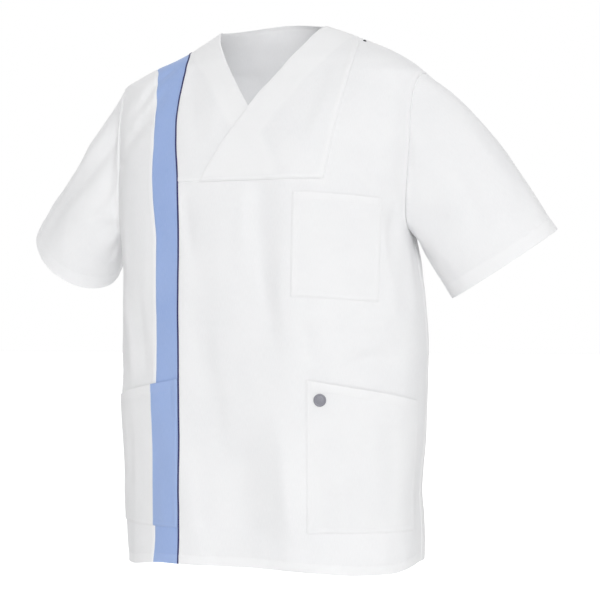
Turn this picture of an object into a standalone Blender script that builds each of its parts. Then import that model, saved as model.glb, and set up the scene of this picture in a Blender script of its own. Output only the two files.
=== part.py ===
"""Work tunic: a short-sleeved V-neck overhead smock with a crossed front yoke, a coloured stripe with
contrast piping down the wearer's right front, one chest pocket and two hip pockets.

The garment is built as cut cloth: each pattern piece is a thin wall laid on one worn form.
That form is a stack of rounded sections (SECTIONS) from the hem to the shoulder ridge.
A place on it is given by s, the distance round the section from the centre front in millimetres,
positive towards the wearer's left, and by the height z. The origin is on the shoulder line at the
neck, where the wearer carries the garment; +Z is up, the front faces -Y, the wearer's left is +X.
Tables are in millimetres; the meshes are in metres.
"""
import math

import bmesh
import bpy
import numpy as np
from mathutils import Vector

MM = 0.001

# ---------------------------------------------------------------- named sizes, mm
CLOTH = 1.0          # wall of one layer of cloth
SEAM = 0.3           # gap between pieces that meet at a seam
SIDE_GAP = 0.5       # the same at the side seam and armhole
LAYER = 0.3          # gap between a piece and one laid on it, point for point
CROSS = 0.7          # gap where two pieces cross with unlike grids
PIPING_WIDTH = 2.4
PIPING_RISE = 0.9    # the piping stands this far proud of the cloth
Z_YOKE = -222.0      # seam below the crossed yoke
Z_SHOULDER_TIP = -74.0
Z_UNDERARM = -285.0
ARMHOLE_FRONT = 47.0  # how far the armhole is cut into the front from the side
ARMHOLE_BACK = 48.0
ARMHOLE_ROUND = 0.60  # below 1 squares the armhole off
NECK_HALF = 78.0     # half width of the neck at the shoulder line
BACK_NECK_RISE = 15.0  # the worn back neck stands this far above the shoulder neck point
FACING_LEFT = (      # width of the left neck facing, level, at heights of the neck edge: it spreads under the lap
    (0.0, 46.0),
    (-158.0, 47.0),
    (-201.0, 96.0),
    (-222.0, 112.0),
)
FACING_RIGHT = 39.0  # width of the right one
HEM_DEPTH = 13.0
CUFF_HEM = 20.0
BADGE_RADIUS = 8.5
STUD_RADIUS = 2.4
RIDGE_GAP = 0.6      # the same at the shoulder seam, where the cloth turns over
SLEEVE_FULLNESS = 30.0
UPPER_ROWS = 8       # rows from the yoke seam to the shoulder
SLEEVE_ROWS = 8

# ---------------------------------------------------------------- the worn form
# z, half width to the wearer's left and right, depth in front of and behind the shoulder line,
# and how square the section is (2 is an ellipse)
SECTIONS = (
    # z      left   right  front  back   square
    (18.0,   50.0,  50.0,  16.0,  51.0,  2.00),
    (8.0,    66.0,  66.0,  25.0,  58.0,  2.00),
    (0.0,    78.0,  78.0,  30.0,  62.0,  2.00),
    (-8.0,   99.0,  91.5,  36.0,  66.0,  2.00),
    (-17.0,  121.0, 106.5, 43.0,  71.0,  2.05),
    (-27.0,  143.0, 124.5, 50.0,  76.0,  2.10),
    (-38.0,  166.0, 149.0, 58.0,  81.0,  2.10),
    (-50.0,  190.0, 180.0, 66.0,  86.0,  2.15),
    (-62.0,  209.0, 205.0, 72.0,  90.0,  2.15),
    (-74.0,  221.0, 224.0, 78.5,  93.0,  2.20),
    (-90.0,  221.5, 228.0, 87.5,  97.0,  2.20),
    (-112.0, 220.0, 228.5, 99.0,  102.0, 2.25),
    (-145.0, 217.0, 228.0, 112.5, 108.5, 2.30),
    (-190.0, 213.0, 227.5, 124.0, 113.0, 2.35),
    (-240.0, 206.5, 226.5, 131.0, 114.5, 2.35),
    (-285.0, 200.0, 225.0, 134.0, 113.0, 2.35),
    (-330.0, 207.0, 223.0, 135.5, 111.0, 2.35),
    (-380.0, 214.0, 223.0, 136.5, 108.0, 2.30),
    (-450.0, 217.5, 224.5, 136.5, 105.5, 2.30),
    (-520.0, 218.0, 222.0, 136.0, 105.0, 2.30),
    (-570.0, 215.5, 218.5, 134.5, 106.0, 2.30),
    (-610.0, 211.5, 216.0, 133.0, 107.0, 2.30),
    (-640.0, 209.5, 214.0, 132.0, 108.0, 2.30),
    (-675.0, 211.5, 212.0, 130.5, 110.0, 2.30),
    (-710.0, 212.0, 211.0, 129.0, 111.0, 2.30),
    (-745.0, 210.0, 210.0, 128.0, 112.0, 2.30),
)

# hem height round the garment, by share of the way from the centre front (0) to the centre back (1 or -1)
HEM = (
    # share   z
    (-1.00, -738.0),
    (-0.75, -736.0),
    (-0.50, -742.0),
    (-0.34, -742.0),
    (-0.17, -733.0),
    (0.00,  -732.0),
    (0.16,  -737.0),
    (0.25,  -740.0),
    (0.34,  -739.5),
    (0.44,  -734.0),
    (0.50,  -731.0),
    (0.75,  -735.0),
    (1.00,  -738.0),
)

# rows of the grid below the yoke seam: heights over the front, over the hip, at the side seam and
# at the centre back, and what the row follows
ROWS = (
    # name           front    hip      side     back
    ("yoke",         -222.0,  -222.0,  -222.0,  -222.0),
    ("chest_top",    -240.0,  -247.0,  -247.7,  -246.0),
    ("",             -266.0,  -270.0,  -267.9,  -272.0),
    ("",             -293.0,  -293.0,  -280.6,  -299.0),
    ("underarm",     -321.0,  -321.0,  -285.0,  -326.0),
    ("",             -349.0,  -352.0,  -335.0,  -353.0),
    ("chest_bottom", -377.0,  -383.0,  -386.0,  -380.0),
    ("",             -404.0,  -413.0,  -419.0,  -407.0),
    ("",             -431.0,  -443.0,  -452.0,  -434.0),
    ("",             -458.0,  -473.0,  -486.0,  -461.0),
    ("pocket_top",   -485.0,  -502.0,  -521.0,  -488.0),
    ("",             -513.0,  -528.0,  -544.0,  -516.0),
    ("",             -542.0,  -554.0,  -568.0,  -544.0),
    ("",             -570.0,  -580.0,  -591.0,  -572.0),
    ("",             -599.0,  -606.0,  -615.0,  -600.0),
    ("",             -627.0,  -632.0,  -638.0,  -628.0),
    ("",             -655.0,  -658.0,  -662.0,  -656.0),
    ("pocket_bottom", -684.0, -685.0,  -686.0,  -684.0),
    ("",             -703.0,  -705.0,  -706.0,  -704.0),
)

# seams and edges of the front, as x at each height; x is the place seen square from the front
STRIPE_INNER = (
    # z       x
    (-28.0,  -122.0),
    (-36.0,  -115.5),
    (-48.0,  -111.5),
    (-76.0,  -109.0),
    (-120.0, -108.5),
    (-163.0, -104.0),
    (-222.0, -95.5),
    (-300.0, -92.5),
    (-487.0, -91.5),
    (-650.0, -91.5),
    (-745.0, -95.0),
)
STRIPE_OUTER = (
    # z       x
    (-46.5,  -173.0),
    (-60.0,  -157.0),
    (-80.0,  -151.5),
    (-102.0, -147.5),
    (-160.0, -141.0),
    (-209.0, -138.5),
    (-250.0, -133.5),
    (-300.0, -128.5),
    (-400.0, -128.0),
    (-488.0, -129.0),
    (-560.0, -132.0),
    (-690.0, -134.5),
    (-745.0, -139.5),
)
YOKE_SEAM = (
    # z       x
    (-19.0,  125.0),
    (-30.0,  131.0),
    (-46.0,  132.0),
    (-90.0,  128.0),
    (-145.0, 121.0),
    (-222.0, 109.5),
)
NECK_EDGE_LEFT = (   # the upper, crossing layer: neck edge, point of the V, then the lap
    # z       x
    (0.0,    78.0),
    (-30.0,  60.5),
    (-62.5,  39.0),
    (-93.0,  18.6),
    (-122.0, 0.0),
    (-167.0, -29.5),
    (-195.0, -46.0),
    (-222.0, -62.0),
)
NECK_EDGE_RIGHT = (  # the under layer
    # z       x
    (0.0,    -78.0),
    (-20.0,  -68.5),
    (-38.0,  -56.5),
    (-57.0,  -44.5),
    (-77.5,  -31.0),
    (-100.0, -15.5),
    (-122.0, 0.0),
    (-151.0, 19.5),
    (-202.0, 49.5),
    (-222.0, 62.0),
)
# columns of the front grid that pockets and the yoke corner follow, as s
COLUMN_A = (         # inner edges of the hip pocket and of the chest pocket
    # z       s
    (-745.0, 90.0),
    (-485.0, 90.0),
    (-378.0, 70.5),
    (-222.0, 70.5),
)
COLUMN_B = (         # corner of the yoke
    # z       s
    (-745.0, 124.0),
    (-485.0, 122.0),
    (-378.0, 114.0),
    (-222.0, 110.3),
)
COLUMN_C = (         # outer edge of the chest pocket
    # z       s
    (-745.0, 186.0),
    (-485.0, 188.0),
    (-383.0, 187.0),
    (-247.0, 191.0),
    (-222.0, 189.0),
)
HIP_SHARE = 0.67     # outer edge of the hip pocket, between COLUMN_C and the side seam
SIDE_SHARE = 0.787   # the same edge on the right, between the stripe and the side seam

# largest folds, each a soft trough (negative) or ridge from one place to another. On the front and
# sides a place is s; on the back it is the distance from the centre back, positive to the left.
FOLDS = (
    # on      s0      z0      s1      z1      width  depth
    ("front", 30.0,   -238.0, 36.0,   -420.0, 17.0,  -4.0),
    ("front", 60.0,   -250.0, 64.0,   -470.0, 20.0,   2.5),
    ("front", -20.0,  -470.0, 45.0,   -740.0, 34.0,  -6.5),
    ("front", -58.0,  -560.0, -50.0,  -745.0, 26.0,   4.0),
    ("front", 78.0,   -560.0, 96.0,   -745.0, 26.0,   3.0),
    ("front", 150.0,  -430.0, 215.0,  -452.0, 26.0,  -4.5),
    ("front", 205.0,  -120.0, 160.0,  -180.0, 20.0,  -2.5),
    ("front", -212.0, -178.0, -150.0, -100.0, 13.0,  -4.0),
    ("front", -216.0, -130.0, -172.0, -78.0,  11.0,   3.0),
    ("front", -236.0, -300.0, -225.0, -470.0, 20.0,  -3.5),
    ("front", 262.0,  -560.0, 262.0,  -745.0, 22.0,  -3.0),
    ("back",  182.0,  -420.0, 172.0,  -745.0, 28.0,  -8.0),
    ("back",  120.0,  -330.0, 104.0,  -745.0, 28.0,   6.0),
    ("back",  48.0,   -300.0, 56.0,   -745.0, 30.0,  -8.0),
    ("back",  -176.0, -380.0, -168.0, -745.0, 28.0,  -7.0),
    ("back",  -112.0, -310.0, -98.0,  -745.0, 28.0,   6.0),
    ("back",  -50.0,  -340.0, -40.0,  -745.0, 30.0,  -7.0),
    ("back",  120.0,  -95.0,  60.0,   -230.0, 24.0,  -4.0),
    ("back",  -120.0, -95.0,  -60.0,  -230.0, 24.0,  -4.0),
)

# sleeves: centre of the cuff, its half width from side to side and half depth from front to back,
# how much the cuff rises outward and backward, how far back the arm swings, the angle below level
# at which the sleeve leaves the shoulder and the underarm, and how boldly it leaves the shoulder
SLEEVES = (
    # side    x       y     z       wide  deep  out    back   swing  top   low   bold
    ("left",  318.4,  30.0, -330.4, 70.4, 55.0, 0.624, 0.227, 0.227, 29.0, 58.0, 0.78),
    ("right", -327.0, 45.0, -306.0, 62.0, 60.0, 0.620, 0.620, 0.260, 56.0, 56.0, 0.90),
)


# ---------------------------------------------------------------- curves through tables
def through(table, at, column=1):
    """The value of a table's column at one or more places of its first column, on a smooth curve
    that never overshoots the table."""
    rows = np.array([[r[0], r[column]] for r in table], float)
    rows = rows[np.argsort(rows[:, 0])]
    x, y = rows[:, 0], rows[:, 1]
    at = np.clip(np.asarray(at, float), x[0], x[-1])
    step = np.diff(x)
    rise = np.diff(y) / step
    slope = np.empty(len(x))
    slope[0], slope[-1] = rise[0], rise[-1]
    for k in range(1, len(x) - 1):
        if rise[k - 1] * rise[k] <= 0:
            slope[k] = 0.0
        else:
            w1, w2 = 2 * step[k] + step[k - 1], step[k] + 2 * step[k - 1]
            slope[k] = (w1 + w2) / (w1 / rise[k - 1] + w2 / rise[k])
    k = np.clip(np.searchsorted(x, at, side="right") - 1, 0, len(x) - 2)
    t = (at - x[k]) / step[k]
    return (
        (2 * t**3 - 3 * t**2 + 1) * y[k]
        + (t**3 - 2 * t**2 + t) * step[k] * slope[k]
        + (-2 * t**3 + 3 * t**2) * y[k + 1]
        + (t**3 - t**2) * step[k] * slope[k + 1]
    )


def straight(table, at):
    """The same with straight lines between the table's rows, for grid columns."""
    rows = np.array(sorted(table), float)
    return np.interp(at, rows[:, 0], rows[:, 1])


# ---------------------------------------------------------------- the worn form as a surface
ANGLES = 181         # samples round half a section
HEIGHTS = 380
_z_grid = np.linspace(-746.0, 18.0, HEIGHTS)
_t_grid = np.linspace(0.0, math.pi, ANGLES)


def section(z):
    """left, right, front, back and squareness at each height."""
    return [through(SECTIONS, z, k) for k in range(1, 6)]


def form(t, z):
    """The bare form at angle t round the section, 0 at the centre front and positive to the left."""
    left, right, front, back, square = section(z)
    t = (t + math.pi) % (2 * math.pi) - math.pi
    s, c = np.abs(np.sin(t)), np.cos(t)
    x = np.where(t >= 0, left, -right) * s ** (2 / square)
    y = np.where(c >= 0, -front, back) * np.abs(c) ** (2 / square)
    return np.stack([x, y, np.broadcast_to(z, x.shape)], axis=-1)


def _girth_tables():
    """Distance round the section from the centre front, for each side, by height and angle."""
    tables = {}
    for side in (1, -1):
        t = np.clip(_t_grid, 0, math.pi - 1e-9)
        p = form(side * t[None, :] + 0 * _z_grid[:, None], np.repeat(_z_grid[:, None], ANGLES, 1))
        p[:, 0, 0] = p[:, -1, 0] = 0.0
        steps = np.linalg.norm(np.diff(p[..., :2], axis=1), axis=2)
        tables[side] = np.concatenate([np.zeros((HEIGHTS, 1)), np.cumsum(steps, axis=1)], axis=1)
    return tables


_girth = _girth_tables()


def _height_rows(z):
    f = (np.clip(z, _z_grid[0], _z_grid[-1]) - _z_grid[0]) / (_z_grid[1] - _z_grid[0])
    k = np.clip(f.astype(int), 0, HEIGHTS - 2)
    return k, f - k


def girth_at(t, z):
    """s of angle t at height z."""
    t, z = np.broadcast_arrays(np.asarray(t, float), np.asarray(z, float))
    out = np.empty(t.shape)
    k, f = _height_rows(z)
    u = np.abs(t) / math.pi * (ANGLES - 1)
    j = np.clip(u.astype(int), 0, ANGLES - 2)
    g = u - j
    for side in (1, -1):
        m = (t >= 0) if side > 0 else (t < 0)
        table = _girth[side]
        a = table[k, j] * (1 - g) + table[k, j + 1] * g
        b = table[k + 1, j] * (1 - g) + table[k + 1, j + 1] * g
        out[m] = side * (a * (1 - f) + b * f)[m]
    return out


def side_seam(z, side=1):
    """s of the side seam, or of the shoulder ridge above the armhole."""
    return girth_at(np.full(np.shape(z), side * math.pi / 2), z)


def centre_back(z, side=1):
    return girth_at(np.full(np.shape(z), side * math.pi), z)


def angle_at(s, z):
    """Angle t of the place s round the section at height z."""
    s, z = np.broadcast_arrays(np.asarray(s, float), np.asarray(z, float))
    flat_s, flat_z = s.ravel(), z.ravel()
    out = np.empty(flat_s.shape)
    k, f = _height_rows(flat_z)
    for n, (sn, kn, fn) in enumerate(zip(flat_s, k, f)):
        side = 1 if sn >= 0 else -1
        row = _girth[side][kn] * (1 - fn) + _girth[side][kn + 1] * fn
        out[n] = side * np.interp(abs(sn), row, _t_grid)
    return out.reshape(s.shape)


def angle_of_x(x, z, behind=False):
    """Angle t of the place at x, seen from the front, on the front or the back of the form."""
    x, z = np.asarray(x, float), np.asarray(z, float)
    left, right, _, _, square = section(z)
    half = np.where(x >= 0, left, right)
    t = np.arcsin(np.clip(np.abs(x) / half, 0, 1) ** (square / 2))
    return np.where(x >= 0, 1, -1) * (math.pi - t if behind else t)


def fold_depth(t, z):
    """How far the folds move the cloth out, or in where negative."""
    s = girth_at(t, z)
    from_back = np.where(s >= 0, centre_back(z) - s, centre_back(z, -1) - s)
    out = np.zeros(s.shape)
    for on, s0, z0, s1, z1, width, depth in FOLDS:
        place = s if on == "front" else from_back
        run = (s1 - s0, z1 - z0)
        along = ((place - s0) * run[0] + (z - z0) * run[1]) / (run[0] ** 2 + run[1] ** 2)
        near = np.clip(along, 0, 1)
        away = np.hypot(place - s0 - near * run[0], z - z0 - near * run[1])
        out += depth * np.exp(-0.5 * (away / width) ** 2) * (0.55 + 0.45 * near)
    # the seams at the shoulder and neck hold the cloth flat
    return out * np.clip((-30.0 - z) / 60.0, 0, 1)


def on_form(t, z, out=0.0):
    """Points of the cloth's outer face: the form with its folds, moved out by out."""
    t, z = np.broadcast_arrays(np.asarray(t, float), np.asarray(z, float))
    e = 2e-3
    across = form(t + e, z) - form(t - e, z)
    up = form(t, z + 0.5) - form(t, z - 0.5)
    n = np.cross(across, up)
    n = n / np.maximum(np.linalg.norm(n, axis=-1, keepdims=True), 1e-9)
    return form(t, z) + n * (fold_depth(t, z) + out)[..., None]


# ---------------------------------------------------------------- shoulder ridge and armhole
_ridge = {
    side: (through(SECTIONS, np.linspace(0, -74, 1500), 1 if side > 0 else 2), np.linspace(0, -74, 1500))
    for side in (1, -1)
}


def ridge_z(x, side):
    """Height of the shoulder ridge at x."""
    return np.interp(np.abs(x), *_ridge[side])


def meets_ridge(x_of, side):
    """Height at which an edge, x by height, reaches the shoulder ridge."""
    low, high = -74.0, 0.0
    for _ in range(50):
        middle = (low + high) / 2
        if ridge_z(x_of(middle), side) > middle:
            low = middle
        else:
            high = middle
    return (low + high) / 2


_middle, _reach = (Z_SHOULDER_TIP + Z_UNDERARM) / 2, (Z_SHOULDER_TIP - Z_UNDERARM) / 2
_turn = math.acos((Z_YOKE - _middle) / _reach)
LOWER_ARM_ROWS = 4
ARM_ANGLES = np.concatenate(
    [np.linspace(0, _turn, UPPER_ROWS + 1), np.linspace(_turn, math.pi, LOWER_ARM_ROWS + 1)[1:]]
)
ARM_Z = _middle + _reach * np.cos(ARM_ANGLES)     # heights of the armhole's points, tip to underarm
FALL = (Z_SHOULDER_TIP - ARM_Z[: UPPER_ROWS + 1]) / (Z_SHOULDER_TIP - Z_YOKE)


def armhole_s(z, side, behind=False):
    """s of a panel's side edge: side seam, armhole or shoulder ridge."""
    cut = ARMHOLE_BACK if behind else ARMHOLE_FRONT
    inset = cut * np.clip(1 - ((z - _middle) / _reach) ** 2, 0, 1) ** (ARMHOLE_ROUND / 2)
    s = np.abs(side_seam(z, side))
    return side * (s + inset) if behind else side * (s - inset)


def armhole_x(side, behind=False):
    return lambda z: form(angle_at(armhole_s(z, side, behind), z), z)[..., 0]


def x_of(table, more=0.0):
    return lambda z: through(table, z) + more


def s_of(table, more=0.0):
    return lambda z: girth_at(angle_of_x(through(table, z) + more, z), z)


# ---------------------------------------------------------------- grids of the pattern pieces
def hem_z(t):
    return through(HEM, np.asarray(t) / math.pi)


def front_lower(columns, side):
    """(t, z) of a front grid from the hem up to the yoke seam. columns give s at a height, the
    one named "edge" being the side seam and the armhole."""
    ts, zs = [], []
    for name, front, hip, at_side, _ in reversed(ROWS + (("hem_line",) + (-738.0 + HEM_DEPTH,) * 4, ("hem",) + (-738.0,) * 4)):
        edge = abs(float(armhole_s(at_side, side)))
        s = np.array([side * edge if c == "edge" else float(c(front)) for c in columns])
        z = np.interp(np.abs(s), [90.0, 190.0, edge], [front, hip, at_side])
        t = angle_at(s, z)
        if name.startswith("hem"):
            z = hem_z(t) + (HEM_DEPTH if name == "hem_line" else 0.0)
            t = angle_at(s, z)
        ts.append(t)
        zs.append(z)
    return np.array(ts), np.array(zs)


def front_upper(left, right, top_left, top_right, shares, side):
    """(t, z) of a front grid from the yoke seam up to the shoulder ridge. left and right give x at
    a height, top_left and top_right the heights where they reach the ridge, and shares the
    columns' places between them."""
    ts, zs = [], []
    for fall in FALL[::-1]:
        zl = top_left + (Z_YOKE - top_left) * fall
        zr = top_right + (Z_YOKE - top_right) * fall
        xl, xr = float(left(zl)), float(right(zr))
        f = shares(xr - xl, zl) if callable(shares) else shares
        x = xl + (xr - xl) * f
        drop = (ridge_z(xl, side) - zl) * (1 - f) + (ridge_z(xr, side) - zr) * f
        z = (ridge_z(x, side) - drop) * (1 - fall) + (zl + (zr - zl) * f) * fall
        t = angle_of_x(x, z)
        if fall == 0:
            t = np.full(x.shape, side * math.pi / 2)
            z = ridge_z(x, side)
        ts.append(t)
        zs.append(z)
    return np.array(ts), np.array(zs)


BACK_SHARES = (0.0, 0.17, 0.34, 0.50, 0.67, 0.84, 1.0)    # side edge to centre back
NECK_COLUMN = 3                                          # the one that ends at the neck point


def back_half(side):
    """(t, z) of half the back, from the side edge to the centre back, hem to shoulder and neck."""
    f = np.array(BACK_SHARES)
    ts, zs = [], []
    for name, _, _, at_side, middle in reversed(ROWS + (("hem_line",) + (-738.0 + HEM_DEPTH,) * 4, ("hem",) + (-738.0,) * 4)):
        z = at_side + (middle - at_side) * f
        edge = abs(float(armhole_s(at_side, side, True)))
        s = edge + (np.abs(centre_back(z, side)) - edge) * f
        t = angle_at(side * s, z)
        if name.startswith("hem"):
            z = hem_z(t) + (HEM_DEPTH if name == "hem_line" else 0.0)
        ts.append(t)
        zs.append(z)
    x_low = form(ts[-1], zs[-1])[:, 0]
    x_low[-1] = 0.0
    turn = np.linspace(math.pi / 2, math.pi, len(f) - NECK_COLUMN)
    neck_z = BACK_NECK_RISE * np.abs(np.cos(turn)) ** 1.3
    neck_x = np.abs(form(turn, neck_z)[:, 0]) * side
    neck_x[-1] = 0.0
    edge_x = armhole_x(side, True)
    for fall in FALL[::-1][1:]:
        ze = Z_SHOULDER_TIP + (Z_YOKE - Z_SHOULDER_TIP) * fall
        xe = float(edge_x(ze))
        x = np.empty(len(f))
        z = np.empty(len(f))
        x[NECK_COLUMN:] = neck_x * (1 - fall) + x_low[NECK_COLUMN:] * fall
        z[NECK_COLUMN:] = neck_z * (1 - fall) + Z_YOKE * fall
        g_top = np.arange(NECK_COLUMN) / NECK_COLUMN
        g_low = (x_low[:NECK_COLUMN] - x_low[0]) / (x_low[NECK_COLUMN] - x_low[0])
        g = g_top * (1 - fall) + g_low * fall
        x[:NECK_COLUMN] = xe + (x[NECK_COLUMN] - xe) * g
        drop = (ridge_z(xe, side) - ze) * (1 - g) + (ridge_z(x[NECK_COLUMN], side) - z[NECK_COLUMN]) * g
        z[:NECK_COLUMN] = (ridge_z(x[:NECK_COLUMN], side) - drop) * (1 - fall) + (
            ze + (z[NECK_COLUMN] - ze) * g
        ) * fall
        t = angle_of_x(x, z, True)
        t[-1] = side * math.pi
        if fall == 0:
            t[: NECK_COLUMN + 1] = side * math.pi / 2
            t[NECK_COLUMN:] = side * turn
            z[:NECK_COLUMN] = ridge_z(x[:NECK_COLUMN], side)
        else:
            t = np.where(x == 0, side * math.pi, np.sign(side) * np.abs(t))
        ts.append(t)
        zs.append(z)
    return np.array(ts), np.array(zs)


def inset(points, left=0.0, right=0.0, bottom=0.0, top=0.0):
    """Moves a grid's edges in, each along its rows or columns, for the gap at a seam."""
    p = points.copy()

    def pull(edge, inner, gap):
        way = points[inner] - points[edge]
        p[edge] += way / np.linalg.norm(way, axis=-1, keepdims=True) * gap

    for edge, inner, gap in (
        (np.s_[:, 0], np.s_[:, 1], left),
        (np.s_[:, -1], np.s_[:, -2], right),
        (np.s_[0], np.s_[1], bottom),
        (np.s_[-1], np.s_[-2], top),
    ):
        if gap:
            pull(edge, inner, gap)
    return p


# ---------------------------------------------------------------- objects
def material(name, colour, roughness, metallic=0.0):
    m = bpy.data.materials.new(name)
    m.use_nodes = True
    shader = m.node_tree.nodes["Principled BSDF"]
    shader.inputs["Base Color"].default_value = (*colour, 1.0)
    shader.inputs["Roughness"].default_value = roughness
    shader.inputs["Metallic"].default_value = metallic
    return m


def cloth(name, grids, finish, closed=False, flip=False, wall=CLOTH, doubled=0):
    """A piece of cloth through one or two grids of points in mm, with Solidify for a wall that
    grows inwards. A second grid, with its first column, stands on the first one's top row. The
    first rows, as many as doubled, are folded over and twice as thick."""
    points = grids[0]
    rows, cols = points.shape[:2]
    verts = list(points.reshape(-1, 3))
    faces = [
        (i * cols + j, i * cols + (j + 1) % cols, (i + 1) * cols + (j + 1) % cols, (i + 1) * cols + j)
        for i in range(rows - 1)
        for j in range(cols if closed else cols - 1)
    ]
    for upper, first in grids[1:]:
        below = [(rows - 1) * cols + first + j for j in range(upper.shape[1])]
        for row in upper:
            above = list(range(len(verts), len(verts) + len(row)))
            verts += list(row)
            faces += [(below[j], below[j + 1], above[j + 1], above[j]) for j in range(len(above) - 1)]
            below = above
    if flip:
        faces = [f[::-1] for f in faces]
    mesh = bpy.data.meshes.new(name)
    mesh.from_pydata([tuple(v * MM) for v in verts], [], faces)
    mesh.shade_smooth()
    mesh.materials.append(finish)
    obj = bpy.data.objects.new(name, mesh)
    bpy.context.scene.collection.objects.link(obj)
    shell = obj.modifiers.new("wall", "SOLIDIFY")
    shell.thickness = wall * MM * (2 if doubled else 1)
    shell.offset = -1.0
    shell.use_rim = True
    if doubled:
        group = obj.vertex_groups.new(name="folded_over")
        group.add(list(range(len(verts))), 0.0, "REPLACE")
        group.add(list(range(doubled * cols)), 1.0, "REPLACE")
        shell.vertex_group = "folded_over"
        shell.thickness_vertex_group = 0.5
    return obj


def disc(name, place, towards, radius, height, finish, segments):
    """A low round disc with a rounded rim, its foot at place and its face towards a direction."""
    mesh = bpy.data.meshes.new(name)
    bm = bmesh.new()
    bmesh.ops.create_cone(bm, cap_ends=True, segments=segments, radius1=radius * MM, radius2=radius * MM, depth=height * MM)
    bm.to_mesh(mesh)
    bm.free()
    mesh.materials.append(finish)
    obj = bpy.data.objects.new(name, mesh)
    bpy.context.scene.collection.objects.link(obj)
    obj.rotation_mode = "QUATERNION"
    obj.rotation_quaternion = Vector(towards).to_track_quat("Z", "Y")
    obj.location = Vector(place) * MM + Vector(towards) * height * MM / 2
    rim = obj.modifiers.new("rim", "BEVEL")
    rim.width = height * 0.3 * MM
    rim.segments = 2
    rim.limit_method = "ANGLE"
    return obj


def between(a, b, share):
    return lambda z: a(z) + (b(z) - a(z)) * share


def row_of(name):
    """Row of a front grid, counted up from the hem, by its name in ROWS."""
    return len(ROWS) + 1 - [r[0] for r in ROWS].index(name)


# how far the crossing layer stands above the form, so that its facing clears the layer below
LAP_RISE = 2 * CLOTH + LAYER + CROSS


def lap_rise(t, z):
    x = form(t, z)[..., 0]
    over = np.clip((through(NECK_EDGE_RIGHT, z) + 62.0 - x) / 27.0, 0, 1)
    over = over * np.clip((through(YOKE_SEAM, z) - x) / 20.0, 0, 1)
    below_v = np.clip((-74.0 - z) / 30.0, 0, 1)
    return LAP_RISE * over * below_v


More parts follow.
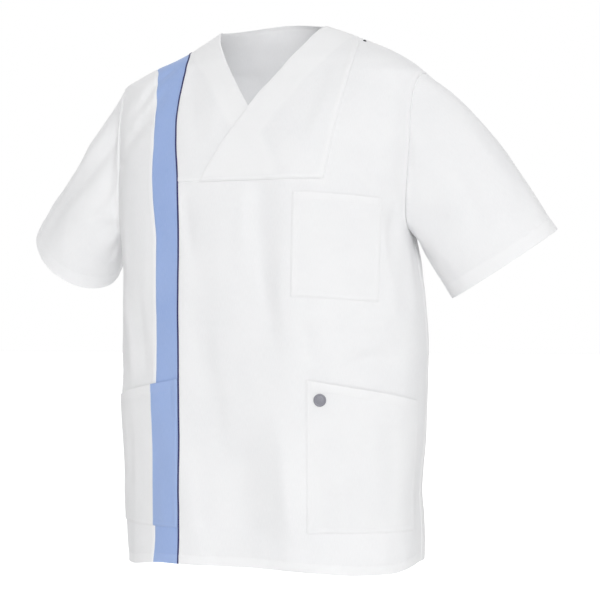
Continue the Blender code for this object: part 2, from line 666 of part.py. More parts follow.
def main():
    for old in list(bpy.data.objects):
        bpy.data.objects.remove(old, do_unlink=True)
    white = material("white_cloth", (0.86, 0.87, 0.89), 0.85)
    blue = material("blue_cloth", (0.33, 0.44, 0.68), 0.85)
    navy = material("navy_piping", (0.035, 0.04, 0.12), 0.7)
    grey = material("badge_grey", (0.42, 0.44, 0.50), 0.45)
    dark = material("stud_dark", (0.05, 0.05, 0.07), 0.4)

    column_a = lambda z: float(straight(COLUMN_A, z))
    column_b = lambda z: float(straight(COLUMN_B, z)) if z < Z_YOKE - 1 else float(s_of(YOKE_SEAM)(Z_YOKE))
    column_c = lambda z: float(straight(COLUMN_C, z))
    left_side = lambda z: float(side_seam(z, 1)) if z < Z_UNDERARM else float(armhole_s(z, 1))
    right_side = lambda z: float(side_seam(z, -1)) if z < Z_UNDERARM else float(armhole_s(z, -1))
    inner = lambda z: float(s_of(STRIPE_INNER)(z))
    outer = lambda z: float(s_of(STRIPE_OUTER)(z))
    at = lambda s: (lambda z: s)

    # front, from the piping to the left side seam, with a cut-out for the yokes
    columns = [inner] + [at(s) for s in (-62.0, -38.0, -14.0, 8.0, 30.0, 50.0)]
    first_pocket_column = len(columns)
    columns += [column_a, between(column_a, column_b, 0.5), column_b, between(column_b, column_c, 0.5), column_c]
    chest_end = len(columns)
    columns += [between(column_c, left_side, HIP_SHARE / 2), between(column_c, left_side, HIP_SHARE)]
    hip_end = len(columns)
    columns += ["edge"]
    corner = first_pocket_column + 2
    t, z = front_lower(columns, 1)
    lower = on_form(t, z)
    x_row = lower[-1, :, 0]
    shares = (x_row[corner:] - x_row[corner]) / (x_row[-1] - x_row[corner])
    top = meets_ridge(x_of(YOKE_SEAM), 1)
    ut, uz = front_upper(x_of(YOKE_SEAM), armhole_x(1), top, Z_SHOULDER_TIP, shares, 1)
    upper = on_form(ut, uz)
    upper = inset(upper, left=SEAM, right=SIDE_GAP, top=RIDGE_GAP)[1:]
    panel = inset(lower, left=SEAM + PIPING_WIDTH / 2, right=SIDE_GAP)
    panel[-1, : corner + 1, 2] -= SEAM
    panel[-1, corner, 0] += SEAM
    cloth("front_main", [panel, (upper, corner)], white, doubled=2)

    # patch pockets of the left front, on the same points moved out
    def patch(name, rows, first, end, grid_t, grid_z, finish, **gaps):
        pocket = on_form(grid_t[rows, first:end], grid_z[rows, first:end], CLOTH + LAYER)
        return cloth(name, [inset(pocket, **gaps)], finish)

    chest = slice(row_of("chest_bottom"), row_of("chest_top") + 1)
    hips = slice(row_of("pocket_bottom"), row_of("pocket_top") + 1)
    patch("pocket_chest", chest, first_pocket_column, chest_end, t, z, white)
    patch("pocket_hip_left", hips, first_pocket_column, hip_end, t, z, white)

    # right of the front: side panel, stripe and the pocket over both
    pocket_stripe = lambda z: min(-139.5, outer(z) - 3.0)
    out_edge = between(outer, right_side, SIDE_SHARE)
    side_columns = [
        "edge",
        out_edge,
        between(out_edge, pocket_stripe, 0.33),
        between(out_edge, pocket_stripe, 0.67),
        pocket_stripe,
        outer,
    ]
    st, sz = front_lower(side_columns, -1)
    bt, bz = front_lower([outer, between(outer, inner, 0.5), inner], -1)
    x_row = on_form(st, sz)[-1, :, 0]
    shares = (x_row - x_row[0]) / (x_row[-1] - x_row[0])
    top_outer, top_inner = meets_ridge(x_of(STRIPE_OUTER), -1), meets_ridge(x_of(STRIPE_INNER), -1)
    sut, suz = front_upper(armhole_x(-1), x_of(STRIPE_OUTER), Z_SHOULDER_TIP, top_outer, shares, -1)
    but, buz = front_upper(
        x_of(STRIPE_OUTER), x_of(STRIPE_INNER), top_outer, top_inner, np.array([0, 0.5, 1]), -1
    )
    whole = np.concatenate([on_form(st, sz), on_form(sut, suz)[1:]])
    cloth("front_side_right", [inset(whole, left=SIDE_GAP, right=SEAM, top=RIDGE_GAP)], white, doubled=2)
    band_t, band_z = np.concatenate([bt, but[1:]]), np.concatenate([bz, buz[1:]])
    band = inset(on_form(band_t, band_z), left=SEAM, right=SEAM + PIPING_WIDTH / 2, top=RIDGE_GAP)
    cloth("stripe_right", [band], blue, doubled=2)

    # piping along the stripe's inner edge, standing proud of the cloth
    cord = on_form(band_t[:, -2:], band_z[:, -2:], PIPING_RISE)
    way = cord[:, 1] - cord[:, 0]
    way /= np.linalg.norm(way, axis=-1, keepdims=True)
    cord = np.stack([cord[:, 1] - way * PIPING_WIDTH / 2, cord[:, 1] + way * PIPING_WIDTH / 2], axis=1)
    cloth("piping_right", [inset(cord, top=RIDGE_GAP)], navy, wall=CLOTH + PIPING_RISE)

    patch("pocket_hip_right", hips, 1, 5, st, sz, white, right=SEAM)
    over_t = np.concatenate([st[:, 4:5], bt], axis=1)
    over_z = np.concatenate([sz[:, 4:5], bz], axis=1)
    patch("pocket_stripe_right", hips, 0, 4, over_t, over_z, blue, left=SEAM, right=SEAM + PIPING_WIDTH / 2)

    # the crossed yokes and their facings
    def shares_from_neck(width, facing):
        f = min(facing / abs(width), 0.80)
        return np.array([0, f / 3, f * 2 / 3, f, f + (1 - f) * 0.4, f + (1 - f) * 0.7, 1])

    lt, lz = front_upper(x_of(NECK_EDGE_LEFT), x_of(YOKE_SEAM), 0.0, top, lambda w, z: shares_from_neck(w, float(straight(FACING_LEFT, z))), 1)
    rise = lap_rise(lt, lz)
    over = inset(on_form(lt, lz, rise), right=SEAM, bottom=SEAM, top=RIDGE_GAP)
    cloth("yoke_left", [over], white)
    under = inset(on_form(lt[:, :4], lz[:, :4], rise[:, :4] - CLOTH - LAYER), bottom=SEAM, top=RIDGE_GAP)
    cloth("facing_left", [under], white)
    rt, rz = front_upper(
        x_of(STRIPE_INNER), x_of(NECK_EDGE_RIGHT), top_inner, 0.0,
        lambda w, z: 1 - shares_from_neck(w, FACING_RIGHT)[::-1], -1,
    )
    low = inset(on_form(rt, rz), left=SEAM + PIPING_WIDTH / 2, bottom=SEAM, top=RIDGE_GAP)
    cloth("yoke_right", [low], white)
    under = inset(on_form(rt[:, -4:], rz[:, -4:], -CLOTH - LAYER), bottom=SEAM, top=RIDGE_GAP)
    cloth("facing_right", [under], white)

    # back
    (tl, zl), (tr, zr) = back_half(1), back_half(-1)
    back_t = np.concatenate([tl, tr[:, -2::-1]], axis=1)
    back_z = np.concatenate([zl, zr[:, -2::-1]], axis=1)
    whole = on_form(back_t, back_z)
    cloth("back", [inset(whole, left=SIDE_GAP, right=SIDE_GAP, top=RIDGE_GAP)], white, doubled=2)

    # sleeves: from the armhole to the cuff
    for name, x, y, z0, wide, deep, out_rise, back_rise, swing, top_angle, low_angle, bold in SLEEVES:
        side = 1 if name == "left" else -1
        front_t = angle_at(armhole_s(ARM_Z, side), ARM_Z)
        rear_t = angle_at(armhole_s(ARM_Z, side, True), ARM_Z)
        hole = np.concatenate([on_form(front_t, ARM_Z), on_form(rear_t, ARM_Z)[-2:0:-1]])
        turn = np.concatenate([ARM_ANGLES, -ARM_ANGLES[-2:0:-1]])
        out, forward = wide * np.cos(turn), deep * np.sin(turn)
        cuff = np.stack(
            [x + side * out, y - forward, z0 + out_rise * out - back_rise * forward], axis=1
        )
        arrive = np.array([side * out_rise, swing, -1.0])
        arrive /= np.linalg.norm(arrive)
        high = (1 + np.cos(turn))[:, None] / 2
        reach = np.linalg.norm(cuff - hole, axis=1, keepdims=True)
        start = [
            np.array([side * math.cos(math.radians(a)), 0.05, -math.sin(math.radians(a))])
            for a in (top_angle, low_angle)
        ]
        leave = (start[0] * high * bold + start[1] * (1 - high)) * reach
        leave[:, 1] -= np.sin(turn) * SLEEVE_FULLNESS
        arrive = arrive * reach
        steps = list(np.linspace(0, 1, SLEEVE_ROWS + 1))
        steps[-1:] = [1 - CUFF_HEM / float(reach.mean()), 1.0]
        rings = []
        for q in steps:
            rings.append(
                (2 * q**3 - 3 * q**2 + 1) * hole
                + (q**3 - 2 * q**2 + q) * leave
                + (-2 * q**3 + 3 * q**2) * cuff
                + (q**3 - q**2) * arrive
            )
        tube = inset(np.array(rings), bottom=SEAM)[::-1]
        cloth("sleeve_" + name, [tube], white, closed=True, flip=side > 0, doubled=2)

    # round badge on the hip pocket and the small stud by the shoulder
    for name, s, z0, layers, radius, height, finish, segments in (
        ("badge_round", 108.0, -511.0, CLOTH + 2 * LAYER, BADGE_RADIUS, 1.6, grey, 24),
        ("stud_shoulder", 142.9, -26.7, LAYER, STUD_RADIUS, 1.5, dark, 12),
    ):
        t0 = angle_at(s, z0)
        place = on_form(t0, z0, layers)
        towards = on_form(t0, z0, layers + 1.0) - place
        disc(name, place, towards, radius, height, finish, segments)


main()
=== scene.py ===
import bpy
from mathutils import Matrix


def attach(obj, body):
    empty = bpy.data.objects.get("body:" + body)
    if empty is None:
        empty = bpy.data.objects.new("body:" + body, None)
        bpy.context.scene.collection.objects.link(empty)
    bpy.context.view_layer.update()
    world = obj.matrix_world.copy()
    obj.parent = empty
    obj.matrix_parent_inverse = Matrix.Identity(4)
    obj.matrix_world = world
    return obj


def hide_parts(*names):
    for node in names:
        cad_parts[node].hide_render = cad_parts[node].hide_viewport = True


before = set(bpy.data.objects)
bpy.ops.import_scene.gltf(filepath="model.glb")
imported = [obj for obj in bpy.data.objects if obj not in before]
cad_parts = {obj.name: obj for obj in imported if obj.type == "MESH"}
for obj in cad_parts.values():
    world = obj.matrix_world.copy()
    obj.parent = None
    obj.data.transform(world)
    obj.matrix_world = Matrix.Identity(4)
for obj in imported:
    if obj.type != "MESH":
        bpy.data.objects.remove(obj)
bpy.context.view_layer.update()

# Looks of the work tunic. Every piece of cloth is a thin shell on the worn form, made from the same
# sections, seams and edges as its solid. A place on the form is t, the angle round the section (0 at the
# centre front, positive to the wearer's left), or s, the distance round it, and the height z. Tables are
# in millimetres, meshes in metres. Creases are placed one by one in tables further down.
import math

import bpy
import numpy as np
from mathutils import Vector

MM = 0.001
CLOTH = 0.7          # cloth with its finish, as it shows at an edge
LAYER = 0.3
PIPING_WIDTH = 2.4
Z_YOKE = -222.0
Z_SHOULDER_TIP = -74.0
Z_UNDERARM = -285.0
ARMHOLE_FRONT = 47.0
ARMHOLE_BACK = 48.0
ARMHOLE_ROUND = 0.60
BACK_NECK_RISE = 15.0
FACING_LEFT = ((0.0, 46.0), (-158.0, 47.0), (-201.0, 96.0), (-222.0, 112.0))   # width at heights of the neck edge
FACING_RIGHT = ((0.0, 39.0), (-222.0, 39.0))
HEM_DEPTH = 13.0
CUFF_HEM = 20.0
SLEEVE_FULLNESS = 30.0
LAP_RISE = 3.0
STEP = 3.2           # spacing of the cloth's points
EDGE = np.array([0.6, 1.3, 2.2, 3.4, 5.0, 6.6, 8.2, 10.0, 12.5])   # points near a seam or an edge
SECTIONS = (
    # z      left   right  front  back   square
    (18.0,   50.0,  50.0,  16.0,  51.0,  2.00),
    (8.0,    66.0,  66.0,  25.0,  58.0,  2.00),
    (0.0,    78.0,  78.0,  30.0,  62.0,  2.00),
    (-8.0,   99.0,  91.5,  36.0,  66.0,  2.00),
    (-17.0,  121.0, 106.5, 43.0,  71.0,  2.05),
    (-27.0,  143.0, 124.5, 50.0,  76.0,  2.10),
    (-38.0,  166.0, 149.0, 58.0,  81.0,  2.10),
    (-50.0,  190.0, 180.0, 66.0,  86.0,  2.15),
    (-62.0,  209.0, 205.0, 72.0,  90.0,  2.15),
    (-74.0,  221.0, 224.0, 78.5,  93.0,  2.20),
    (-90.0,  221.5, 228.0, 87.5,  97.0,  2.20),
    (-112.0, 220.0, 228.5, 99.0,  102.0, 2.25),
    (-145.0, 217.0, 228.0, 112.5, 108.5, 2.30),
    (-190.0, 213.0, 227.5, 124.0, 113.0, 2.35),
    (-240.0, 206.5, 226.5, 131.0, 114.5, 2.35),
    (-285.0, 200.0, 225.0, 134.0, 113.0, 2.35),
    (-330.0, 207.0, 223.0, 135.5, 111.0, 2.35),
    (-380.0, 214.0, 223.0, 136.5, 108.0, 2.30),
    (-450.0, 217.5, 224.5, 136.5, 105.5, 2.30),
    (-520.0, 218.0, 222.0, 136.0, 105.0, 2.30),
    (-570.0, 215.5, 218.5, 134.5, 106.0, 2.30),
    (-610.0, 211.5, 216.0, 133.0, 107.0, 2.30),
    (-640.0, 209.5, 214.0, 132.0, 108.0, 2.30),
    (-675.0, 211.5, 212.0, 130.5, 110.0, 2.30),
    (-710.0, 212.0, 211.0, 129.0, 111.0, 2.30),
    (-745.0, 210.0, 210.0, 128.0, 112.0, 2.30),
)
HEM = (
    # share   z
    (-1.00, -738.0),
    (-0.75, -736.0),
    (-0.50, -742.0),
    (-0.34, -742.0),
    (-0.17, -733.0),
    (0.00,  -732.0),
    (0.16,  -737.0),
    (0.25,  -740.0),
    (0.34,  -739.5),
    (0.44,  -734.0),
    (0.50,  -731.0),
    (0.75,  -735.0),
    (1.00,  -738.0),
)
ROWS = (
    # name           front    hip      side     back
    ("yoke",         -222.0,  -222.0,  -222.0,  -222.0),
    ("chest_top",    -240.0,  -247.0,  -247.7,  -246.0),
    ("",             -266.0,  -270.0,  -267.9,  -272.0),
    ("",             -293.0,  -293.0,  -280.6,  -299.0),
    ("underarm",     -321.0,  -321.0,  -285.0,  -326.0),
    ("",             -349.0,  -352.0,  -335.0,  -353.0),
    ("chest_bottom", -377.0,  -383.0,  -386.0,  -380.0),
    ("",             -404.0,  -413.0,  -419.0,  -407.0),
    ("",             -431.0,  -443.0,  -452.0,  -434.0),
    ("",             -458.0,  -473.0,  -486.0,  -461.0),
    ("pocket_top",   -485.0,  -502.0,  -521.0,  -488.0),
    ("",             -513.0,  -528.0,  -544.0,  -516.0),
    ("",             -542.0,  -554.0,  -568.0,  -544.0),
    ("",             -570.0,  -580.0,  -591.0,  -572.0),
    ("",             -599.0,  -606.0,  -615.0,  -600.0),
    ("",             -627.0,  -632.0,  -638.0,  -628.0),
    ("",             -655.0,  -658.0,  -662.0,  -656.0),
    ("pocket_bottom", -684.0, -685.0,  -686.0,  -684.0),
    ("",             -703.0,  -705.0,  -706.0,  -704.0),
)
STRIPE_INNER = (
    # z       x
    (-28.0,  -122.0),
    (-36.0,  -115.5),
    (-48.0,  -111.5),
    (-76.0,  -109.0),
    (-120.0, -108.5),
    (-163.0, -104.0),
    (-222.0, -95.5),
    (-300.0, -92.5),
    (-487.0, -91.5),
    (-650.0, -91.5),
    (-745.0, -95.0),
)
STRIPE_OUTER = (
    # z       x
    (-46.5,  -173.0),
    (-60.0,  -157.0),
    (-80.0,  -151.5),
    (-102.0, -147.5),
    (-160.0, -141.0),
    (-209.0, -138.5),
    (-250.0, -133.5),
    (-300.0, -128.5),
    (-400.0, -128.0),
    (-488.0, -129.0),
    (-560.0, -132.0),
    (-690.0, -134.5),
    (-745.0, -139.5),
)
YOKE_SEAM = (
    # z       x
    (-19.0,  125.0),
    (-30.0,  131.0),
    (-46.0,  132.0),
    (-90.0,  128.0),
    (-145.0, 121.0),
    (-222.0, 109.5),
)
NECK_EDGE_LEFT = (   # the upper, crossing layer: neck edge, point of the V, then the lap
    # z       x
    (0.0,    78.0),
    (-30.0,  60.5),
    (-62.5,  39.0),
    (-93.0,  18.6),
    (-122.0, 0.0),
    (-167.0, -29.5),
    (-195.0, -46.0),
    (-222.0, -62.0),
)
NECK_EDGE_RIGHT = (  # the under layer
    # z       x
    (0.0,    -78.0),
    (-20.0,  -68.5),
    (-38.0,  -56.5),
    (-57.0,  -44.5),
    (-77.5,  -31.0),
    (-100.0, -15.5),
    (-122.0, 0.0),
    (-151.0, 19.5),
    (-202.0, 49.5),
    (-222.0, 62.0),
)
COLUMN_A = (         # inner edges of the hip pocket and of the chest pocket
    # z       s
    (-745.0, 90.0),
    (-485.0, 90.0),
    (-378.0, 70.5),
    (-222.0, 70.5),
)
COLUMN_B = (         # corner of the yoke
    # z       s
    (-745.0, 124.0),
    (-485.0, 122.0),
    (-378.0, 114.0),
    (-222.0, 110.3),
)
COLUMN_C = (         # outer edge of the chest pocket
    # z       s
    (-745.0, 186.0),
    (-485.0, 188.0),
    (-383.0, 187.0),
    (-247.0, 191.0),
    (-222.0, 189.0),
)
HIP_SHARE = 0.67     # outer edge of the hip pocket, between COLUMN_C and the side seam
SIDE_SHARE = 0.787   # the same edge on the right, between the stripe and the side seam
FOLDS = (
    # on      s0      z0      s1      z1      width  depth
    ("front", 30.0,   -238.0, 36.0,   -420.0, 17.0,  -4.0),
    ("front", 60.0,   -250.0, 64.0,   -470.0, 20.0,   2.5),
    ("front", -40.0,  -470.0, 34.0,   -740.0, 32.0,  -6.5),
    ("front", -58.0,  -560.0, -50.0,  -745.0, 26.0,   4.0),
    ("front", 78.0,   -560.0, 96.0,   -745.0, 26.0,   3.0),
    ("front", 150.0,  -430.0, 215.0,  -452.0, 26.0,  -4.5),
    ("front", 205.0,  -120.0, 160.0,  -180.0, 20.0,  -2.5),
    ("front", -212.0, -178.0, -150.0, -100.0, 13.0,  -4.0),
    ("front", -216.0, -130.0, -172.0, -78.0,  11.0,   3.0),
    ("front", -236.0, -300.0, -225.0, -470.0, 20.0,  -3.5),
    ("front", 262.0,  -560.0, 262.0,  -745.0, 22.0,  -3.0),
    ("back",  182.0,  -420.0, 172.0,  -745.0, 28.0,  -8.0),
    ("back",  120.0,  -330.0, 104.0,  -745.0, 28.0,   6.0),
    ("back",  48.0,   -300.0, 56.0,   -745.0, 30.0,  -8.0),
    ("back",  -176.0, -380.0, -168.0, -745.0, 28.0,  -7.0),
    ("back",  -112.0, -310.0, -98.0,  -745.0, 28.0,   6.0),
    ("back",  -50.0,  -340.0, -40.0,  -745.0, 30.0,  -7.0),
    ("back",  120.0,  -95.0,  60.0,   -230.0, 24.0,  -4.0),
    ("back",  -120.0, -95.0,  -60.0,  -230.0, 24.0,  -4.0),
)
SLEEVES = (
    # side    x       y     z       wide  deep  out    back   swing  top   low   bold
    ("left",  318.4,  30.0, -330.4, 70.4, 55.0, 0.624, 0.227, 0.227, 29.0, 58.0, 0.78),
    ("right", -327.0, 45.0, -306.0, 62.0, 60.0, 0.620, 0.620, 0.260, 56.0, 56.0, 0.90),
)

# Creases beyond the largest folds. Each is a soft trough (negative) or ridge from one place to another;
# bend bows it sideways, and it fades in over the first share and out over the last one of its length.
CREASES = (
    # on      s0      z0      s1      z1      bend   width  depth  in    out
    # front panel: folds that fall from the yoke and swing out towards the hem
    ("front", 23.0, -226.0, 58.0, -480.0, -8.6, 9.5, -2.9, 0.06, 0.5),
    ("front", 52.0, -300.0, 70.0, -480.0, -2.0, 9.0, 1.3, 0.4, 0.5),
    ("front", -55.0, -256.0, -50.0, -530.0, -10.0, 12.0, -2.4, 0.35, 0.4),
    ("front", -60.0, -470.0, -46.0, -738.0, -6.0, 26.0, -7.5, 0.4, 0.04),
    ("front", 42.0, -505.0, 66.0, -738.0, 4.0, 26.0, 7.0, 0.45, 0.04),
    ("front", -32.0, -390.0, 4.0, -600.0, -9.5, 11.0, 2.2, 0.35, 0.45),
    ("front", -82.5, -236.0, -68.2, -340.1, -3.0, 5.5, -1.9, 0.1, 0.5),
    ("front", -89.0, -575.0, -59.0, -728.0, 2.0, 10.0, 2.2, 0.4, 0.12),
    ("front", 51.1, -530.0, 67.8, -700.0, 3.0, 7.5, 2.8, 0.4, 0.25),
    ("front", -5.6, -230.0, 0.4, -330.0, 3.0, 7.0, 1.4, 0.1, 0.6),
    ("front", 130.0, -590.0, 143.6, -690.0, 0.4, 9.0, 1.5, 0.4, 0.2),
    ("front", 106.1, -535.0, 114.8, -690.0, -0.4, 9.0, -1.5, 0.4, 0.2),
    ("front", 206.0, -520.0, 196.0, -690.0, 4.0, 10.0, -1.6, 0.35, 0.2),
    # between the chest pocket and the hip pocket
    ("front", 133.3, -422.5, 216.3, -412.0, 8.3, 7.0, 2.2, 0.3, 0.3),
    ("front", 128.0, -474.0, 232.0, -462.0, 10.2, 10.5, -5.6, 0.35, 0.3),
    ("front", 89.0, -402.0, 103.3, -476.0, -3.2, 7.0, -2.4, 0.3, 0.3),
    # beside the chest pocket and below the armhole on the left
    ("front", 193.7, -286.0, 220.4, -419.0, -0.5, 8.0, 2.8, 0.25, 0.4),
    ("front", 121.2, -184.9, 222.5, -258.0, 1.0, 8.5, -2.5, 0.3, 0.3),
    ("front", 218.3, -252.0, 206.3, -372.0, -5.0, 7.0, -2.2, 0.1, 0.6),
    ("front", 240.0, -300.0, 246.0, -430.0, 6.0, 9.0, 1.6, 0.25, 0.5),
    # left shoulder
    ("front", 176.0,  -72.0,  132.0,  -150.0, 6.0,   9.0,   -1.4,  0.3,  0.6),
    ("front", 150.0,  -50.0,  120.0,  -84.0,  -3.0,  7.0,   1.0,   0.3,  0.6),
    ("front", 206.0, -112.0, 184.0, -196.0, 5.0, 9.0, 1.6, 0.25, 0.5),
    # right shoulder and side panel
    ("front", -128.0, -48.0,  -186.0, -122.0, -3.0,  4.5,   -2.4,  0.15, 0.3),
    ("front", -142.0, -78.0,  -204.0, -152.0, 4.0,   6.5,   2.6,   0.2,  0.3),
    ("front", -138.5, -132.0, -212.5, -166.0, -6.0, 5.6, -2.6, 0.3, 0.35),
    ("front", -238.0, -190.0, -198.0, -183.0, -3.0, 4.8, -2.8, 0.05, 0.7),
    ("front", -238.2, -236.0, -206.0, -224.0, 3.0, 5.5, -2.2, 0.05, 0.8),
    ("front", -196.0, -222.0, -189.7, -358.0, -8.0, 9.0, 2.0, 0.5, 0.4),
    ("front", -174.0, -356.0, -150.0, -492.0, 3.2, 9.0, -2.6, 0.3, 0.15),
    ("front", -210.5, -350.0, -182.5, -486.0, 4.0, 9.0, 2.0, 0.3, 0.2),
    ("front", -237.0, -300.0, -221.0, -470.0, -5.0, 10.0, -2.0, 0.3, 0.4),
    ("front", -256.0, -360.0, -252.0, -560.0, 5.0, 12.0, -1.8, 0.3, 0.4),
    ("front", -195.0, -520.0, -201.0, -680.0, 4.0, 10.0, -1.3, 0.3, 0.3),
    ("front", -246.5, -600.0, -242.5, -736.0, 4.0, 13.0, 1.8, 0.5, 0.1),
    # stripe and yokes
    ("front", -120.0, -60.0,  -112.0, -170.0, 3.0,   6.0,   -1.3,  0.3,  0.5),
    ("front", -120.0, -226.0, -116.0, -330.0, -3.0, 7.0, -1.2, 0.3, 0.5),
    ("front", -112.0, -400.0, -110.0, -600.0, 4.0, 9.0, -1.0, 0.4, 0.4),
    ("front", -100.0, -50.0,  -52.0,  -202.0, -7.0,  8.0,   -2.0,  0.2,  0.3),
    ("front", -70.0,  -60.0,  -34.0,  -170.0, 5.0,   7.0,   1.5,   0.3,  0.4),
    ("front", 102.0,  -44.0,  66.0,   -176.0, 6.0,   9.0,   -1.6,  0.3,  0.4),
    ("front", 112.0,  -96.0,  92.0,   -210.0, -5.0,  8.0,   1.1,   0.3,  0.4),
    # hem of the front
    ("front", 124.8, -690.0, 130.8, -738.0, 3.0, 9.0, -1.0, 0.4, 0.05),
    ("front", 214.0, -690.0, 208.0, -738.0, -3.0, 9.0, -1.4, 0.4, 0.05),
    ("front", 236.0, -520.0, 244.0, -700.0, 5.0, 12.0, 1.5, 0.3, 0.3),
    ("front", 12.0, -676.0, 22.0, -738.0, 2.0, 10.0, 1.3, 0.5, 0.05),
    ("front", -37.2, -690.0, -33.2, -738.0, -2.0, 9.0, -1.1, 0.5, 0.05),
    # back, measured from the centre back
    ("back",  206.0,  -236.0, 150.0,  -330.0, 8.0,   10.0,  -2.2,  0.15, 0.55),
    ("back",  212.0,  -268.0, 182.0,  -410.0, -8.0,  11.0,  -1.9,  0.2,  0.5),
    ("back",  -206.0, -236.0, -154.0, -322.0, -8.0,  10.0,  -2.1,  0.15, 0.55),
    ("back",  -214.0, -270.0, -190.0, -398.0, 7.0,   10.0,  -1.8,  0.2,  0.5),
    ("back",  172.0,  -120.0, 120.0,  -222.0, 7.0,   12.0,  -1.8,  0.25, 0.55),
    ("back",  -176.0, -118.0, -130.0, -212.0, -8.0,  12.0,  -1.6,  0.25, 0.55),
    ("back",  92.0,   -40.0,  40.0,   -130.0, 6.0,   11.0,  -1.3,  0.3,  0.6),
    ("back",  -90.0,  -38.0,  -46.0,  -140.0, -5.0,  11.0,  -1.4,  0.3,  0.6),
    ("back",  20.0,   -190.0, 8.0,    -400.0, 6.0,   16.0,  -2.0,  0.35, 0.45),
    ("back",  -22.0,  -260.0, -12.0,  -520.0, -7.0,  14.0,  1.6,   0.35, 0.45),
    ("back",  76.0,   -300.0, 82.0,   -560.0, 8.0,   13.0,  -1.9,  0.3,  0.4),
    ("back",  146.0,  -360.0, 138.0,  -600.0, -8.0,  13.0,  1.9,   0.3,  0.4),
    ("back",  -78.0,  -330.0, -70.0,  -590.0, 7.0,   13.0,  -1.8,  0.3,  0.4),
    ("back",  -146.0, -350.0, -136.0, -640.0, -8.0,  13.0,  1.8,   0.3,  0.4),
    ("back",  214.0,  -480.0, 204.0,  -738.0, 6.0,   14.0,  2.2,   0.4,  0.05),
    ("back",  -214.0, -470.0, -200.0, -738.0, -6.0,  14.0,  2.0,   0.4,  0.05),
    ("back",  14.0,   -560.0, 18.0,   -738.0, 4.0,   12.0,  1.9,   0.5,  0.05),
    ("back",  -88.0,  -610.0, -84.0,  -738.0, 4.0,   10.0,  -1.7,  0.5,  0.05),
    ("back",  84.0,   -620.0, 88.0,   -738.0, -4.0,  10.0,  -1.6,  0.5,  0.05),
    ("back",  -20.0,  -470.0, 60.0,   -494.0, 9.0,   12.0,  -1.4,  0.4,  0.4),
    ("back",  -140.0, -430.0, -60.0,  -462.0, -8.0,  11.0,  -1.3,  0.4,  0.4),
    ("back",  100.0,  -440.0, 170.0,  -420.0, 8.0,   11.0,  -1.3,  0.4,  0.4),
)

# creases of the sleeves: angle round the arm in degrees (0 on top, 90 in front, 180 under the arm) and
# share of the way from the armhole to the cuff
SLEEVE_CREASES = {
    "left": (
        # a0     q0    a1     q1    bend  width  depth  in    out
        (150.0,  0.02, 96.0,  0.62, 7.0,  7.0,   -2.2,  0.05, 0.6),
        (172.0,  0.10, 128.0, 0.80, -6.0, 8.0,   -2.0,  0.10, 0.5),
        (122.0,  0.03, 66.0,  0.42, 5.0,  6.0,   -1.4,  0.05, 0.65),
        (100.0,  0.30, 74.0,  0.95, 6.0,  13.0,  1.7,   0.30, 0.30),
        (72.0,   0.30, 86.0,  0.82, 9.0,  9.0,   -2.8,  0.30, 0.30),
        (58.0,   0.25, 60.0,  0.85, -6.0, 12.0,  1.6,   0.30, 0.35),
        (38.0,   0.20, 30.0,  0.86, 5.0,  12.0,  1.2,   0.35, 0.35),
        (14.0,   0.12, 12.0,  0.72, 4.0,  10.0,  -1.2,  0.30, 0.45),
        (-24.0,  0.10, -30.0, 0.80, 6.0,  12.0,  -1.6,  0.25, 0.40),
        (-64.0,  0.15, -60.0, 0.92, -6.0, 13.0,  1.7,   0.30, 0.30),
        (-146.0, 0.02, -94.0, 0.66, -7.0, 8.0,   -2.4,  0.05, 0.55),
        (-170.0, 0.08, -132.0, 0.8, 6.0,  8.0,   -2.0,  0.10, 0.5),
        (-118.0, 0.04, -74.0, 0.46, -5.0, 7.0,   -1.5,  0.05, 0.6),
    ),
    "right": (
        (152.0,  0.02, 104.0, 0.58, 6.0,  7.0,   -2.6,  0.05, 0.6),
        (170.0,  0.06, 138.0, 0.72, -5.0, 7.0,   -2.4,  0.08, 0.5),
        (126.0,  0.02, 84.0,  0.50, 5.0,  6.0,   -2.0,  0.05, 0.6),
        (104.0,  0.02, 70.0,  0.66, -5.0, 8.0,   -2.2,  0.08, 0.5),
        (6.0,    0.13, 112.0, 0.17, -6.0, 13.0,  -5.0,  0.10, 0.30),
        (98.0,   0.40, 72.0,  0.90, 6.0,  13.0,  2.0,   0.30, 0.30),
        (60.0,   0.04, 36.0,  0.92, -5.0, 11.0,  -3.6,  0.10, 0.20),
        (66.0,   0.02, 52.0,  0.60, -3.0, 17.0,  -4.4,  0.10, 0.60),
        (44.0,   0.10, 26.0,  0.88, 5.0,  8.0,   1.5,   0.25, 0.35),
        (26.0,   0.30, 14.0,  0.96, 4.0,  7.0,   -2.2,  0.25, 0.15),
        (116.0,  0.50, 92.0,  0.96, 5.0,  11.0,  1.5,   0.35, 0.20),
        (-20.0,  0.10, -34.0, 0.82, 6.0,  12.0,  -1.7,  0.25, 0.40),
        (-60.0,  0.12, -66.0, 0.90, -6.0, 13.0,  1.8,   0.30, 0.30),
        (-144.0, 0.02, -98.0, 0.64, -7.0, 8.0,   -2.4,  0.05, 0.55),
        (-168.0, 0.08, -130.0, 0.8, 6.0,  8.0,   -2.0,  0.10, 0.5),
        (-112.0, 0.04, -70.0, 0.50, -5.0, 7.0,   -1.6,  0.05, 0.6),
    ),
}


